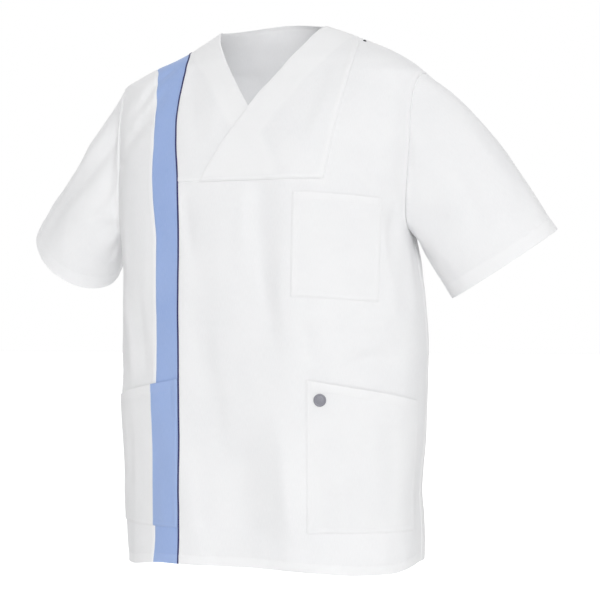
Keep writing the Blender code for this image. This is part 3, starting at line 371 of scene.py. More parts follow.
# ---------------------------------------------------------------- curves through tables
def through(table, at, column=1):
    """The value of a table's column at places of its first column, on a smooth curve that never
    overshoots the table."""
    rows = np.array([[r[0], r[column]] for r in table], float)
    rows = rows[np.argsort(rows[:, 0])]
    x, y = rows[:, 0], rows[:, 1]
    at = np.clip(np.asarray(at, float), x[0], x[-1])
    step = np.diff(x)
    rise = np.diff(y) / step
    slope = np.empty(len(x))
    slope[0], slope[-1] = rise[0], rise[-1]
    for k in range(1, len(x) - 1):
        if rise[k - 1] * rise[k] <= 0:
            slope[k] = 0.0
        else:
            w1, w2 = 2 * step[k] + step[k - 1], step[k] + 2 * step[k - 1]
            slope[k] = (w1 + w2) / (w1 / rise[k - 1] + w2 / rise[k])
    k = np.clip(np.searchsorted(x, at, side="right") - 1, 0, len(x) - 2)
    t = (at - x[k]) / step[k]
    return (
        (2 * t**3 - 3 * t**2 + 1) * y[k]
        + (t**3 - 2 * t**2 + t) * step[k] * slope[k]
        + (-2 * t**3 + 3 * t**2) * y[k + 1]
        + (t**3 - t**2) * step[k] * slope[k + 1]
    )


def straight(table, at):
    rows = np.array(sorted(table), float)
    return np.interp(at, rows[:, 0], rows[:, 1])


def smooth(x, low, high):
    """0 below low, 1 above high, turning smoothly between them."""
    f = np.clip((x - low) / (high - low), 0, 1)
    return f * f * (3 - 2 * f)


# ---------------------------------------------------------------- the worn form
ANGLES, HEIGHTS, SHARES = 361, 381, 721
_z_grid = np.linspace(-746.0, 18.0, HEIGHTS)
_t_grid = np.linspace(0.0, math.pi, ANGLES)


def form(t, z):
    left, right, front, back, square = [through(SECTIONS, z, k) for k in range(1, 6)]
    t = (t + math.pi) % (2 * math.pi) - math.pi
    s, c = np.abs(np.sin(t)), np.cos(t)
    x = np.where(t >= 0, left, -right) * s ** (2 / square)
    y = np.where(c >= 0, -front, back) * np.abs(c) ** (2 / square)
    return np.stack([x, y, np.broadcast_to(z, x.shape)], axis=-1)


_girth, _angle = {}, {}
for _side in (1, -1):
    _t = np.clip(_t_grid, 0, math.pi - 1e-9)
    _p = form(_side * _t[None, :] + 0 * _z_grid[:, None], np.repeat(_z_grid[:, None], ANGLES, 1))
    _p[:, 0, 0] = _p[:, -1, 0] = 0.0
    _d = np.linalg.norm(np.diff(_p[..., :2], axis=1), axis=2)
    _girth[_side] = np.concatenate([np.zeros((HEIGHTS, 1)), np.cumsum(_d, axis=1)], axis=1)
    _angle[_side] = np.array(
        [np.interp(np.linspace(0, 1, SHARES) * g[-1], g, _t_grid) for g in _girth[_side]]
    )


def _rows_at(z):
    f = (np.clip(z, _z_grid[0], _z_grid[-1]) - _z_grid[0]) / (_z_grid[1] - _z_grid[0])
    k = np.clip(f.astype(int), 0, HEIGHTS - 2)
    return k, f - k


def _between(table, k, f, u):
    j = np.clip(u.astype(int), 0, table.shape[1] - 2)
    g = u - j
    low = table[k, j] * (1 - g) + table[k, j + 1] * g
    high = table[k + 1, j] * (1 - g) + table[k + 1, j + 1] * g
    return low * (1 - f) + high * f


def girth_at(t, z):
    """s of angle t at height z."""
    t, z = np.broadcast_arrays(np.asarray(t, float), np.asarray(z, float))
    k, f = _rows_at(z)
    u = np.abs(t) / math.pi * (ANGLES - 1)
    return np.where(t >= 0, _between(_girth[1], k, f, u), -_between(_girth[-1], k, f, u))


def angle_at(s, z):
    """Angle t of the place s round the section at height z."""
    s, z = np.broadcast_arrays(np.asarray(s, float), np.asarray(z, float))
    k, f = _rows_at(z)
    found = {}
    for side in (1, -1):
        whole = _girth[side][k, -1] * (1 - f) + _girth[side][k + 1, -1] * f
        u = np.clip(np.abs(s) / whole, 0, 1) * (SHARES - 1)
        found[side] = side * _between(_angle[side], k, f, u)
    return np.where(s >= 0, found[1], found[-1])


def side_seam(z, side=1):
    return girth_at(np.full(np.shape(z), side * math.pi / 2), z)


def centre_back(z, side=1):
    return girth_at(np.full(np.shape(z), side * math.pi), z)


def angle_of_x(x, z, behind=False):
    x, z = np.asarray(x, float), np.asarray(z, float)
    left, right, square = (through(SECTIONS, z, k) for k in (1, 2, 5))
    half = np.where(x >= 0, left, right)
    t = np.arcsin(np.clip(np.abs(x) / half, 0, 1) ** (square / 2))
    return np.where(x >= 0, 1, -1) * (math.pi - t if behind else t)


def fold_depth(t, z):
    s = girth_at(t, z)
    from_back = np.where(s >= 0, centre_back(z) - s, centre_back(z, -1) - s)
    out = np.zeros(s.shape)
    for on, s0, z0, s1, z1, width, depth in FOLDS:
        place = s if on == "front" else from_back
        run = (s1 - s0, z1 - z0)
        along = ((place - s0) * run[0] + (z - z0) * run[1]) / (run[0] ** 2 + run[1] ** 2)
        near = np.clip(along, 0, 1)
        away = np.hypot(place - s0 - near * run[0], z - z0 - near * run[1])
        out += depth * np.exp(-0.5 * (away / width) ** 2) * (0.55 + 0.45 * near)
    return out * np.clip((-30.0 - z) / 60.0, 0, 1)


def crease_sum(place, level, creases):
    """Depth of a table of creases at places (across, up), both in millimetres."""
    out = np.zeros(place.shape)
    for s0, z0, s1, z1, bend, width, depth, fade_in, fade_out in creases:
        run = np.array([s1 - s0, z1 - z0])
        long = np.hypot(*run)
        along = ((place - s0) * run[0] + (level - z0) * run[1]) / long**2
        away = ((place - s0) * -run[1] + (level - z0) * run[0]) / long
        near = np.clip(along, 0, 1)
        away = away - bend * 4 * near * (1 - near)
        past = np.maximum(np.maximum(-along, along - 1), 0) * long
        # one flank is steeper than the other, as in cloth that is pulled one way
        wide = width * np.where(away * np.sign(bend) > 0, 0.8, 1.25)
        held = smooth(along, -0.02, fade_in) * (1 - smooth(along, 1 - fade_out, 1.02))
        out += depth * np.exp(-0.5 * (away / wide) ** 2 - 0.5 * (past / width) ** 2) * held
    return out


_waves = []
_rng = np.random.default_rng(7)
for _long, _high, _count in ((150.0, 0.85, 10), (62.0, 0.34, 14), (27.0, 0.11, 16)):
    for _ in range(_count):
        _way = _rng.normal(size=3) * np.array([1.0, 1.0, 0.45])
        _way *= 2 * math.pi / _long * _rng.uniform(0.7, 1.35) / np.linalg.norm(_way)
        _waves.append((_way, _rng.uniform(0, 2 * math.pi), _high * math.sqrt(2 / _count)))


def unevenness(points):
    """Small play of the cloth, the same from piece to piece across a seam."""
    out = np.zeros(points.shape[:-1])
    for way, phase, high in _waves:
        out += high * np.sin(points @ way + phase)
    return out


def soft(t, z):
    s = girth_at(t, z)
    from_back = np.where(s >= 0, centre_back(z) - s, centre_back(z, -1) - s)
    out = crease_sum(s, z, [c[1:] for c in CREASES if c[0] == "front"])
    # a crease of the back stays on the back
    out += crease_sum(from_back, z, [c[1:] for c in CREASES if c[0] == "back"]) * smooth(np.abs(t), 1.45, 1.75)
    return out + unevenness(form(t, z)) * smooth(-z, 4.0, 60.0)


def place(t, z, out=0.0):
    """Points of the cloth's outer face, moved out by out."""
    t, z = np.broadcast_arrays(np.asarray(t, float), np.asarray(z, float))
    e = 2e-3
    n = np.cross(form(t + e, z) - form(t - e, z), form(t, z + 0.5) - form(t, z - 0.5))
    n = n / np.maximum(np.linalg.norm(n, axis=-1, keepdims=True), 1e-9)
    return form(t, z) + n * (fold_depth(t, z) + soft(t, z) + out)[..., None]


# ---------------------------------------------------------------- shoulder ridge and armhole
_ridge = {
    side: (through(SECTIONS, np.linspace(0, -74, 1500), 1 if side > 0 else 2), np.linspace(0, -74, 1500))
    for side in (1, -1)
}


def ridge_z(x, side):
    return np.interp(np.abs(x), *_ridge[side])


def meets_ridge(x_of_z, side):
    low, high = -74.0, 0.0
    for _ in range(50):
        middle = (low + high) / 2
        if ridge_z(x_of_z(middle), side) > middle:
            low = middle
        else:
            high = middle
    return (low + high) / 2


_middle, _reach = (Z_SHOULDER_TIP + Z_UNDERARM) / 2, (Z_SHOULDER_TIP - Z_UNDERARM) / 2
_turn = math.acos((Z_YOKE - _middle) / _reach)


def armhole_s(z, side, behind=False):
    cut = ARMHOLE_BACK if behind else ARMHOLE_FRONT
    inset = cut * np.clip(1 - ((z - _middle) / _reach) ** 2, 0, 1) ** (ARMHOLE_ROUND / 2)
    s = np.abs(side_seam(z, side))
    return side * (s + inset) if behind else side * (s - inset)


def edge_s(z, side, behind=False):
    """s of a panel's side edge: armhole above, side seam below."""
    z = np.asarray(z, float)
    return np.where(z < Z_UNDERARM, side_seam(z, side), armhole_s(np.maximum(z, Z_UNDERARM), side, behind))


def armhole_x(side, behind=False):
    return lambda z: form(angle_at(armhole_s(z, side, behind), z), z)[..., 0]


def x_of(table):
    return lambda z: through(table, z)


def s_of(table):
    return lambda z: girth_at(angle_of_x(through(table, z), z), z)


def hem_z(t):
    return through(HEM, np.asarray(t) / math.pi)


# ---------------------------------------------------------------- grids of the pattern pieces
def spots(width, near=(), far=(), step=STEP):
    """Shares of a width for the points between two lines: near and far are distances from them. width
    is one number or one for each row, and every row gets as many points."""
    width = np.atleast_1d(np.asarray(width, float))
    near, far = np.asarray(near, float), np.asarray(far, float)
    used = (near[-1] if len(near) else 0) + (far[-1] if len(far) else 0)
    many = max(1, int(round((np.median(width) - used) / step)) - 1)
    k = np.minimum(1, 0.8 * width / max(used, 1e-9))[:, None]
    a = (near * k) if len(near) else np.zeros((len(width), 0))
    b = (width[:, None] - far[::-1] * k) if len(far) else np.zeros((len(width), 0))
    start = a[:, -1:] if len(near) else np.zeros((len(width), 1))
    end = b[:, :1] if len(far) else width[:, None]
    mid = start + (end - start) * (np.arange(1, many + 1) / (many + 1))[None]
    out = np.concatenate([np.zeros((len(width), 1)), a, mid, b, width[:, None]], axis=1)
    return out / width[:, None]


def lower_rows():
    """Rows below the yoke seam, from the hem up: heights at the front, hip, side and back, then how
    far the row follows the hem, and its height above it."""
    out = []
    arm = np.linspace(_turn, math.pi, 5)
    for n, (a, b) in enumerate(zip(ROWS[:-1], ROWS[1:])):
        a, b = np.array(a[1:], float), np.array(b[1:], float)
        near = EDGE[:7] if n == 0 else ()
        for f in spots(a[0] - b[0], near, ())[0][:-1]:
            v = a + (b - a) * f
            if n < 4:
                v[2] = _middle + _reach * math.cos(arm[n] + (arm[n + 1] - arm[n]) * f)
            out.append((*v, 0.0, 0.0))
    last = np.array(ROWS[-1][1:], float)
    out.append((*last, 0.0, 0.0))
    for f in (0.17, 0.34, 0.51, 0.66, 0.78, 0.87, 0.94, 1.0):
        out.append((*(last + (-738.0 + HEM_DEPTH - last) * f), f, HEM_DEPTH))
    for high in (12.3, 11.5, 10.0, 8.0, 5.5, 3.2, 1.6, 0.6, 0.0):
        out.append(((-738.0 + high),) * 4 + (1.0, high))
    return np.array(out[::-1])


LOWER = lower_rows()


def lower_grid(keys, fine, side, behind=False):
    """(t, z) of a grid from the hem to the yoke seam. keys give s at a height, None being the side
    seam and armhole; fine says for each space between them whether its points crowd at its start and end.
    Gives the place of each key in the columns too."""
    front, hip, at_side = LOWER[:, 0], LOWER[:, 1], LOWER[:, 2]
    edge = np.abs(edge_s(at_side, side))
    lines = [side * edge if k is None else np.broadcast_to(k(front), front.shape) for k in keys]
    parts, marks = [], [0]
    for a, b, (start, end) in zip(lines[:-1], lines[1:], fine):
        f = spots(np.abs(b - a), EDGE if start else (), EDGE if end else ())
        parts.append(a[:, None] + (b - a)[:, None] * f[:, :-1])
        marks.append(marks[-1] + f.shape[1] - 1)
    s = np.concatenate(parts + [lines[-1][:, None]], axis=1)

    def level(front, hip, at_side):
        far = np.abs(s)
        z = np.where(
            far <= 90, front, np.where(far <= 190, front + (hip - front) * (far - 90) / 100,
            hip + (at_side - hip) * np.clip((far - 190) / np.maximum(edge[:, None] - 190, 1), 0, 1)))
        return z

    z = level(front[:, None], hip[:, None], at_side[:, None])
    z = to_hem(s, z, level(*[np.array(v, float)[None, None] for v in ROWS[-1][1:4]]))
    return angle_at(s, z), z, marks


def to_hem(s, z, above):
    share, high = LOWER[:, 4:5], LOWER[:, 5:6]
    line = hem_z(angle_at(s, np.clip(z, -745, 0)))
    blend = above * (1 - share) + (line + HEM_DEPTH) * share
    return np.where(share == 0, z, np.where(share < 1, blend, line + high))


def falls():
    """Shares of the way down from the shoulder to the yoke seam, from the seam up."""
    a = np.linspace(0, _turn, 8 * 6 + 1)
    fall = (1 - np.cos(a)) / (1 - math.cos(_turn))
    deep = fall * (Z_SHOULDER_TIP - Z_YOKE)
    whole = deep[-1]
    deep = np.concatenate([deep[deep < whole - EDGE[6] - 1.5], (whole - EDGE[:7])[::-1], [whole]])
    return deep[::-1] / whole


FALL = falls()


def upper_grid(left, right, top_left, top_right, shares, side):
    """(t, z) of a front grid from the yoke seam up to the shoulder ridge."""
    zl = top_left + (Z_YOKE - top_left) * FALL
    zr = top_right + (Z_YOKE - top_right) * FALL
    xl, xr = left(zl), right(zr)
    f = shares(xr - xl, zl) if callable(shares) else np.broadcast_to(shares, (len(FALL), len(shares)))
    x = xl[:, None] + (xr - xl)[:, None] * f
    drop = (ridge_z(xl, side) - zl)[:, None] * (1 - f) + (ridge_z(xr, side) - zr)[:, None] * f
    z = (ridge_z(x, side) - drop) * (1 - FALL[:, None]) + (zl[:, None] + (zr - zl)[:, None] * f) * FALL[:, None]
    t = angle_of_x(x, z)
    t[-1] = side * math.pi / 2
    z[-1] = ridge_z(x[-1], side)
    return t, z


BACK_SHARES = (0.0, 0.17, 0.34, 0.50, 0.67, 0.84, 1.0)
NECK_COLUMN = 3


def back_half(side):
    """(t, z) of half the back, side edge to centre back, hem to shoulder and neck; the column that
    ends at the neck point too."""
    f1 = spots(140.0, EDGE, (), 3.6)[0] * 0.5
    f2 = 0.5 + spots(140.0, (), (), 3.6)[0] * 0.5
    f = np.concatenate([f1, f2[1:]])
    neck = len(f1) - 1
    at_side, middle = LOWER[:, 2:3], LOWER[:, 3:4]
    z = at_side + (middle - at_side) * f[None]
    edge = np.abs(edge_s(at_side, side, True))
    s = side * (edge + (np.abs(centre_back(z, side)) - edge) * f[None])
    last = ROWS[-1]
    z = to_hem(s, z, np.broadcast_to(last[3] + (last[4] - last[3]) * f[None], z.shape))
    t = angle_at(s, z)
    t[:, -1] = side * math.pi
    x_low = form(t[-1], z[-1])[:, 0]
    x_low[-1] = 0.0
    turn = np.interp(f[neck:], BACK_SHARES[NECK_COLUMN:], np.linspace(math.pi / 2, math.pi, 4))
    neck_z = BACK_NECK_RISE * np.abs(np.cos(turn)) ** 1.3
    neck_x = np.abs(form(turn, neck_z)[:, 0]) * side
    neck_x[-1] = 0.0
    g_top = np.interp(f[:neck], BACK_SHARES[: NECK_COLUMN + 1], np.arange(4) / 3)
    g_low = (x_low[:neck] - x_low[0]) / (x_low[neck] - x_low[0])
    fall = FALL[1:, None]
    ze = Z_SHOULDER_TIP + (Z_YOKE - Z_SHOULDER_TIP) * fall
    xe = armhole_x(side, True)(ze)
    x_in = neck_x * (1 - fall) + x_low[neck:] * fall
    z_in = neck_z * (1 - fall) + Z_YOKE * fall
    g = g_top * (1 - fall) + g_low * fall
    x_out = xe + (x_in[:, :1] - xe) * g
    drop = (ridge_z(xe, side) - ze) * (1 - g) + (ridge_z(x_in[:, :1], side) - z_in[:, :1]) * g
    z_out = (ridge_z(x_out, side) - drop) * (1 - fall) + (ze + (z_in[:, :1] - ze) * g) * fall
    x, zz = np.concatenate([x_out, x_in], axis=1), np.concatenate([z_out, z_in], axis=1)
    tt = side * np.abs(angle_of_x(x, zz, True))
    tt[:, -1] = side * math.pi
    tt[-1, : neck + 1] = side * math.pi / 2
    tt[-1, neck:] = side * turn
    zz[-1, :neck] = ridge_z(x[-1, :neck], side)
    return np.concatenate([t, tt]), np.concatenate([z, zz]), neck


def resample(t, z, across, up):
    """The same grid with its points where across and up, functions of a length, put them."""
    p = form(t, z)
    d = np.concatenate([np.zeros((len(t), 1)), np.cumsum(np.linalg.norm(np.diff(p, axis=1), axis=2), axis=1)], axis=1)
    f = across(d[:, -1]) * d[:, -1:]
    t = np.array([np.interp(a, b, c) for a, b, c in zip(f, d, t)])
    z = np.array([np.interp(a, b, c) for a, b, c in zip(f, d, z)])
    p = form(t, z).transpose(1, 0, 2)
    d = np.concatenate([np.zeros((len(p), 1)), np.cumsum(np.linalg.norm(np.diff(p, axis=1), axis=2), axis=1)], axis=1)
    f = up(d[:, -1]) * d[:, -1:]
    tt = np.array([np.interp(a, b, c) for a, b, c in zip(f, d, t.T)]).T
    zz = np.array([np.interp(a, b, c) for a, b, c in zip(f, d, z.T)]).T
    return tt, zz


# ---------------------------------------------------------------- seams, hems and edges
def arcs(p, axis):
    """Distance of each point from the start of its row (axis 1) or column (axis 0), and from its end."""
    step = np.linalg.norm(np.diff(p, axis=axis), axis=-1)
    zero = np.zeros_like(step[:, :1] if axis == 1 else step[:1])
    near = np.concatenate([zero, np.cumsum(step, axis=axis)], axis=axis)
    whole = near[:, -1:] if axis == 1 else near[-1:]
    return near, whole - near


def ripple(along, seed, long):
    """Uneven waves along a line."""
    rng = np.random.default_rng(seed)
    out = np.zeros(np.shape(along))
    for _ in range(6):
        out += np.sin(2 * math.pi * along / (long * rng.uniform(0.6, 1.7)) + rng.uniform(0, 6.3))
    return out / 2.4


def seam(d, along, seed, band=0.0, dip=0.5, proud=0.3, pucker=0.16):
    """Cloth beside a seam: it dips into the seam, stands proud where the allowance lies under it, and
    puckers a little. band is the width of the allowance, 0 on the side it is pressed away from."""
    out = -dip * np.exp(-((d / 1.15) ** 2))
    if band:
        out += proud * smooth(d, 0.8, 2.2) * (1 - smooth(d, band - 0.8, band + 1.6))
        out -= 0.13 * np.exp(-(((d - band + 1.2) / 0.9) ** 2))
    return out + pucker * ripple(along, seed, 10.0) * smooth(d, 0.5, 3.0) * np.exp(-d / 8.0)


def hem(d, along, seed, depth, pucker=0.15):
    """Cloth beside a turned and stitched hem, or the stitched edge of a patch."""
    out = 0.28 * (1 - smooth(d, depth - 1.0, depth + 0.8)) - 0.25 * np.exp(-(((d - depth + 0.6) / 0.9) ** 2))
    return out + pucker * ripple(along, seed, 12.0) * np.exp(-((d - depth) / 6.0) ** 2)


def doubled(d, band):
    return 1 - smooth(d, band - 0.7, band + 0.7)


# ---------------------------------------------------------------- shells
def shell(name, grids, thick, outward, uv=None, two=None, thin=None):
    """A closed thin shell of cloth with a rounded rim, through one grid of points in mm, or two with
    the second one's first row on the first one's last. outward gives a point inside the form."""
    points = grids[0]
    rows, cols = points.shape[:2]
    ids = np.arange(rows * cols).reshape(rows, cols)
    verts = [points.reshape(-1, 3)]
    quads = [np.stack([ids[:-1, :-1], ids[:-1, 1:], ids[1:, 1:], ids[1:, :-1]], -1).reshape(-1, 4)]
    extra = [a[0].reshape(-1, a[0].shape[-1]) if a[0].ndim == 3 else a[0].reshape(-1, 1) for a in (uv, two)]
    if len(grids) > 1:
        upper, first = grids[1]
        more = np.arange((upper.shape[0] - 1) * upper.shape[1]).reshape(upper.shape[0] - 1, -1) + rows * cols
        both = np.concatenate([ids[-1:, first : first + upper.shape[1]], more])
        verts.append(upper[1:].reshape(-1, 3))
        quads.append(np.stack([both[:-1, :-1], both[:-1, 1:], both[1:, 1:], both[1:, :-1]], -1).reshape(-1, 4))
        extra[0] = np.concatenate([extra[0], uv[1][1:].reshape(-1, 2)])
        extra[1] = np.concatenate([extra[1], two[1][1:].reshape(-1, 1)])
    v, q = np.concatenate(verts), np.concatenate(quads)
    n = np.zeros_like(v)
    fn = np.cross(v[q[:, 2]] - v[q[:, 0]], v[q[:, 3]] - v[q[:, 1]])
    for k in range(4):
        np.add.at(n, q[:, k], fn)
    if ((v - outward) * n).sum() < 0:
        q, n = q[:, ::-1], -n
    n /= np.maximum(np.linalg.norm(n, axis=1, keepdims=True), 1e-12)
    edges = np.concatenate([q[:, [k, (k + 1) % 4]] for k in range(4)])
    key = edges[:, 0] * len(v) + edges[:, 1]
    back_key = edges[:, 1] * len(v) + edges[:, 0]
    rim = edges[~np.isin(key, back_key)]
    out = np.zeros_like(v)
    way = np.cross(v[rim[:, 1]] - v[rim[:, 0]], n[rim[:, 0]])
    way /= np.maximum(np.linalg.norm(way, axis=1, keepdims=True), 1e-12)
    np.add.at(out, rim[:, 0], way)
    np.add.at(out, rim[:, 1], way)
    on_rim = np.unique(rim)
    out = out[on_rim] / np.maximum(np.linalg.norm(out[on_rim], axis=1, keepdims=True), 1e-12)
    wall = np.broadcast_to(thick if thin is None else thin, (len(v),)).reshape(-1, 1)
    count, local = len(v), np.full(len(v), -1)
    local[on_rim] = np.arange(len(on_rim))
    allv, allq = [v], [q]
    ring = [rim[:, 0], rim[:, 1]]
    half = wall[on_rim] / 2
    for turn in (45.0, 90.0, 135.0):
        a = math.radians(turn)
        allv.append(v[on_rim] + out * half * math.sin(a) - n[on_rim] * half * (1 - math.cos(a)))
        new = [count + local[rim[:, 0]], count + local[rim[:, 1]]]
        allq.append(np.stack([ring[1], ring[0], new[0], new[1]], -1))
        ring, count = new, count + len(on_rim)
    allv.append(v - n * wall)
    allq.append(np.stack([ring[1], ring[0], count + rim[:, 0], count + rim[:, 1]], -1))
    allq.append(q[:, ::-1] + count)
    v2, q2 = np.concatenate(allv), np.concatenate(allq)
    spread = np.concatenate([np.arange(len(v))] + [on_rim] * 3 + [np.arange(len(v))])
    return make(name, v2, q2, extra[0][spread], extra[1][spread, 0]), n


def make(name, v, q, uv=None, two=None):
    mesh = bpy.data.meshes.new(name)
    mesh.vertices.add(len(v))
    mesh.vertices.foreach_set("co", (v * MM).astype(np.float32).ravel())
    mesh.loops.add(q.size)
    mesh.loops.foreach_set("vertex_index", q.astype(np.int32).ravel())
    mesh.polygons.add(len(q))
    mesh.polygons.foreach_set("loop_start", np.arange(0, q.size, q.shape[1], dtype=np.int32))
    if uv is not None:
        layer = mesh.uv_layers.new(name="cloth")
        layer.data.foreach_set("uv", (uv[q.ravel()] * MM).astype(np.float32).ravel())
    if two is not None:
        # two: share of doubled cloth, which the cloth finish paints brighter
        mesh.attributes.new("two", "FLOAT", "POINT").data.foreach_set("value", two.astype(np.float32))
    mesh.update(calc_edges=True)
    mesh.validate()
    mesh.shade_smooth()
    obj = bpy.data.objects.new(name, mesh)
    bpy.context.scene.collection.objects.link(obj)
    return obj


def grid_normals(p):
    du, dv = np.gradient(p, axis=1), np.gradient(p, axis=0)
    n = np.cross(du, dv)
    return n / np.maximum(np.linalg.norm(n, axis=-1, keepdims=True), 1e-12)


# ---------------------------------------------------------------- thread
THREADS = {}


def line_at(p, n, edge, d, start=0.0, end=0.0):
    """Points and normals of a line on a grid at a distance from one of its edges, shortened at its
    ends."""
    if edge in ("bottom", "top"):
        p, n = p.transpose(1, 0, 2), n.transpose(1, 0, 2)
    near, far = arcs(p, 1)
    c = near if edge in ("left", "bottom") else far
    out = []
    for row, rn, a in zip(p, n, c):
        if a[0] > a[-1]:
            row, rn, a = row[::-1], rn[::-1], a[::-1]
        out.append([np.interp(d, a, w[:, k]) for w in (row, rn) for k in range(3)])
    out = np.array(out)
    a = np.concatenate([[0], np.cumsum(np.linalg.norm(np.diff(out[:, :3], axis=0), axis=1))])
    keep = (a >= start) & (a <= a[-1] - end)
    return out[keep, :3], out[keep, 3:]


def sew(group, line, inside, pitch=3.0, long=2.45, radius=0.17, lift=0.10):
    """Stitches along a line: each a short thread that rises out of the cloth and goes back in."""
    p, n = line
    if len(p) < 2:
        return
    a = np.concatenate([[0], np.cumsum(np.linalg.norm(np.diff(p, axis=0), axis=1))])
    count = int(a[-1] // pitch)
    if count < 1:
        return
    n = n * np.sign(((p - inside) * n).sum())
    first = (a[-1] - count * pitch) / 2 + (pitch - long) / 2
    at = first + np.arange(count)[:, None] * pitch + np.array([0, 0.22, 0.5, 0.78, 1.0])[None] * long
    high = np.array([-0.30, 0.75, 1.0, 0.75, -0.30]) * lift
    fat = np.array([0.55, 0.95, 1.0, 0.95, 0.55]) * radius
    c = np.stack([np.interp(at, a, p[:, k]) for k in range(3)], -1)
    m = np.stack([np.interp(at, a, n[:, k]) for k in range(3)], -1)
    m /= np.linalg.norm(m, axis=-1, keepdims=True)
    way = c[:, -1:] - c[:, :1]
    way = way / np.linalg.norm(way, axis=-1, keepdims=True)
    side = np.cross(way, m)
    c = c + m * high[None, :, None]
    rings = []
    for k in range(5):
        w = 2 * math.pi * k / 5 + 0.3
        rings.append(c + (side * math.cos(w) + m * math.sin(w)) * fat[None, :, None])
    v = np.stack(rings, axis=2).reshape(-1, 3)
    base = (np.arange(count) * 25)[:, None, None]
    i, k = np.arange(4)[:, None], np.arange(5)[None]
    q = np.stack([i * 5 + k, i * 5 + (k + 1) % 5, (i + 1) * 5 + (k + 1) % 5, (i + 1) * 5 + k], -1).reshape(1, -1, 4)
    q = (q + base).reshape(-1, 4)
    caps = np.concatenate([np.arange(5)[::-1], 20 + np.arange(5)]).reshape(1, 2, 5) + base
    THREADS.setdefault(group, []).append((v, q, caps.reshape(-1, 5)))


# ---------------------------------------------------------------- the pieces
INSIDE = np.array([0.0, -8.0, -400.0])       # a point inside the trunk
PATCH = 1.25                                 # a patch's outer face above the cloth it is sewn to
ALLOWANCE = 8.0


def inward(v):
    return np.array([0.0, -8.0, 0.0]) + v * np.array([0.0, 0.0, 1.0])


def column_a(z): return straight(COLUMN_A, z)
def column_b(z): return np.where(z < Z_YOKE - 1, straight(COLUMN_B, z), s_of(YOKE_SEAM)(np.full(np.shape(z), Z_YOKE)))
def column_c(z): return straight(COLUMN_C, z)
def inner(z): return s_of(STRIPE_INNER)(z)
def outer(z): return s_of(STRIPE_OUTER)(z)
def hip_out(z): return column_c(z) + (edge_s(z, 1) - column_c(z)) * HIP_SHARE
def out_edge(z): return outer(z) + (edge_s(z, -1) - outer(z)) * SIDE_SHARE
def pocket_stripe(z): return np.minimum(-139.5, outer(z) - 3.0)


def uv_of(t, z, behind=False, start=0.0):
    s = girth_at(t, z)
    if behind:
        s = np.where(s >= 0, centre_back(z) - s, centre_back(z, -1) - s)
        s = np.where(np.abs(t) > math.pi - 1e-6, 0.0, s)
    return np.stack([s, arcs(form(t, z), 0)[0] + start], -1)


def side_edge(far, z_edge, along, seed, below):
    """The armhole, with its allowance on the trunk, and the side seam under it."""
    w = smooth(z_edge, Z_UNDERARM - 4, Z_UNDERARM + 8)
    arm = seam(far, along, seed, ALLOWANCE)
    side = seam(far, along, seed, below)
    return arm * w + side * (1 - w), doubled(far, ALLOWANCE) * (w if not below else 1.0)


made = {}
GRIDS = {}


def keep(name, node, slot, t=None):
    made[name] = (node, slot)


def panel(name, parts, thick=CLOTH, thin=None):
    """parts: one or two of (points, uv, two), the second with its first column."""
    grids = [parts[0][0]] + ([(parts[1][0], parts[1][3])] if len(parts) > 1 else [])
    v = np.concatenate([parts[0][0].reshape(-1, 3)] + ([parts[1][0][1:].reshape(-1, 3)] if len(parts) > 1 else []))
    obj, _ = shell(name, grids, thick, inward(v), [p[1] for p in parts], [p[2] for p in parts], thin)
    return obj


# front, from the piping to the left side seam, with a cut-out for the yokes
t, z, marks = lower_grid([inner, column_b, None], [(True, False), (True, True)], 1)
b = form(t, z)
near, far = arcs(b, 1)
low, high = arcs(b, 0)
corner = marks[1]
past = np.maximum(near - near[:, corner : corner + 1], 0)
to_yoke = np.hypot(past, high)
w_corner = 1 - smooth(past, 0, 1.5)
side_out, side_two = side_edge(far, z[:, -1:], low[:, -1:], 11, 0)
out = (
    seam(near, low[:, :1], 12)
    + side_out
    + hem(low, near[:1], 13, HEM_DEPTH)
    + seam(to_yoke, near[-1:], 14, pucker=0.0)
    + 0.16 * w_corner * ripple(near[-1:], 14, 10.0) * smooth(high, 0.5, 3.0) * np.exp(-high / 8.0)
)
lower = place(t, z, out)
top = meets_ridge(x_of(YOKE_SEAM), 1)
x_row = b[-1, corner:, 0]
ut, uz = upper_grid(x_of(YOKE_SEAM), armhole_x(1), top, Z_SHOULDER_TIP, (x_row - x_row[0]) / (x_row[-1] - x_row[0]), 1)
ub = form(ut, uz)
unear, ufar = arcs(ub, 1)
ulow, uhigh = arcs(ub, 0)
uout = (
    seam(unear, ulow[:, :1], 15, pucker=0.0)
    + 0.16 * ripple(ulow[:, :1], 15, 10.0) * smooth(ulow, 0, 6) * smooth(unear, 0.5, 3.0) * np.exp(-unear / 8.0)
    + seam(ufar, ulow[:, -1:] + low[-1, -1], 11, ALLOWANCE)
    + seam(uhigh, unear[-1:], 16, pucker=0.1)
)
upper = place(ut, uz, uout)
upper[0] = lower[-1, corner:]
# the doubled hem and allowance bands get painted brightening
panel("front_main_cloth", [
    (lower, uv_of(t, z), np.maximum(side_two, doubled(low, HEM_DEPTH - 0.5))),
    (upper, uv_of(ut, uz, start=low[-1, corner]), doubled(ufar, ALLOWANCE), corner),
])
keep("front_main_cloth", "front_main", "white_cloth")
GRIDS["front_lower"], GRIDS["front_upper"] = lower, upper

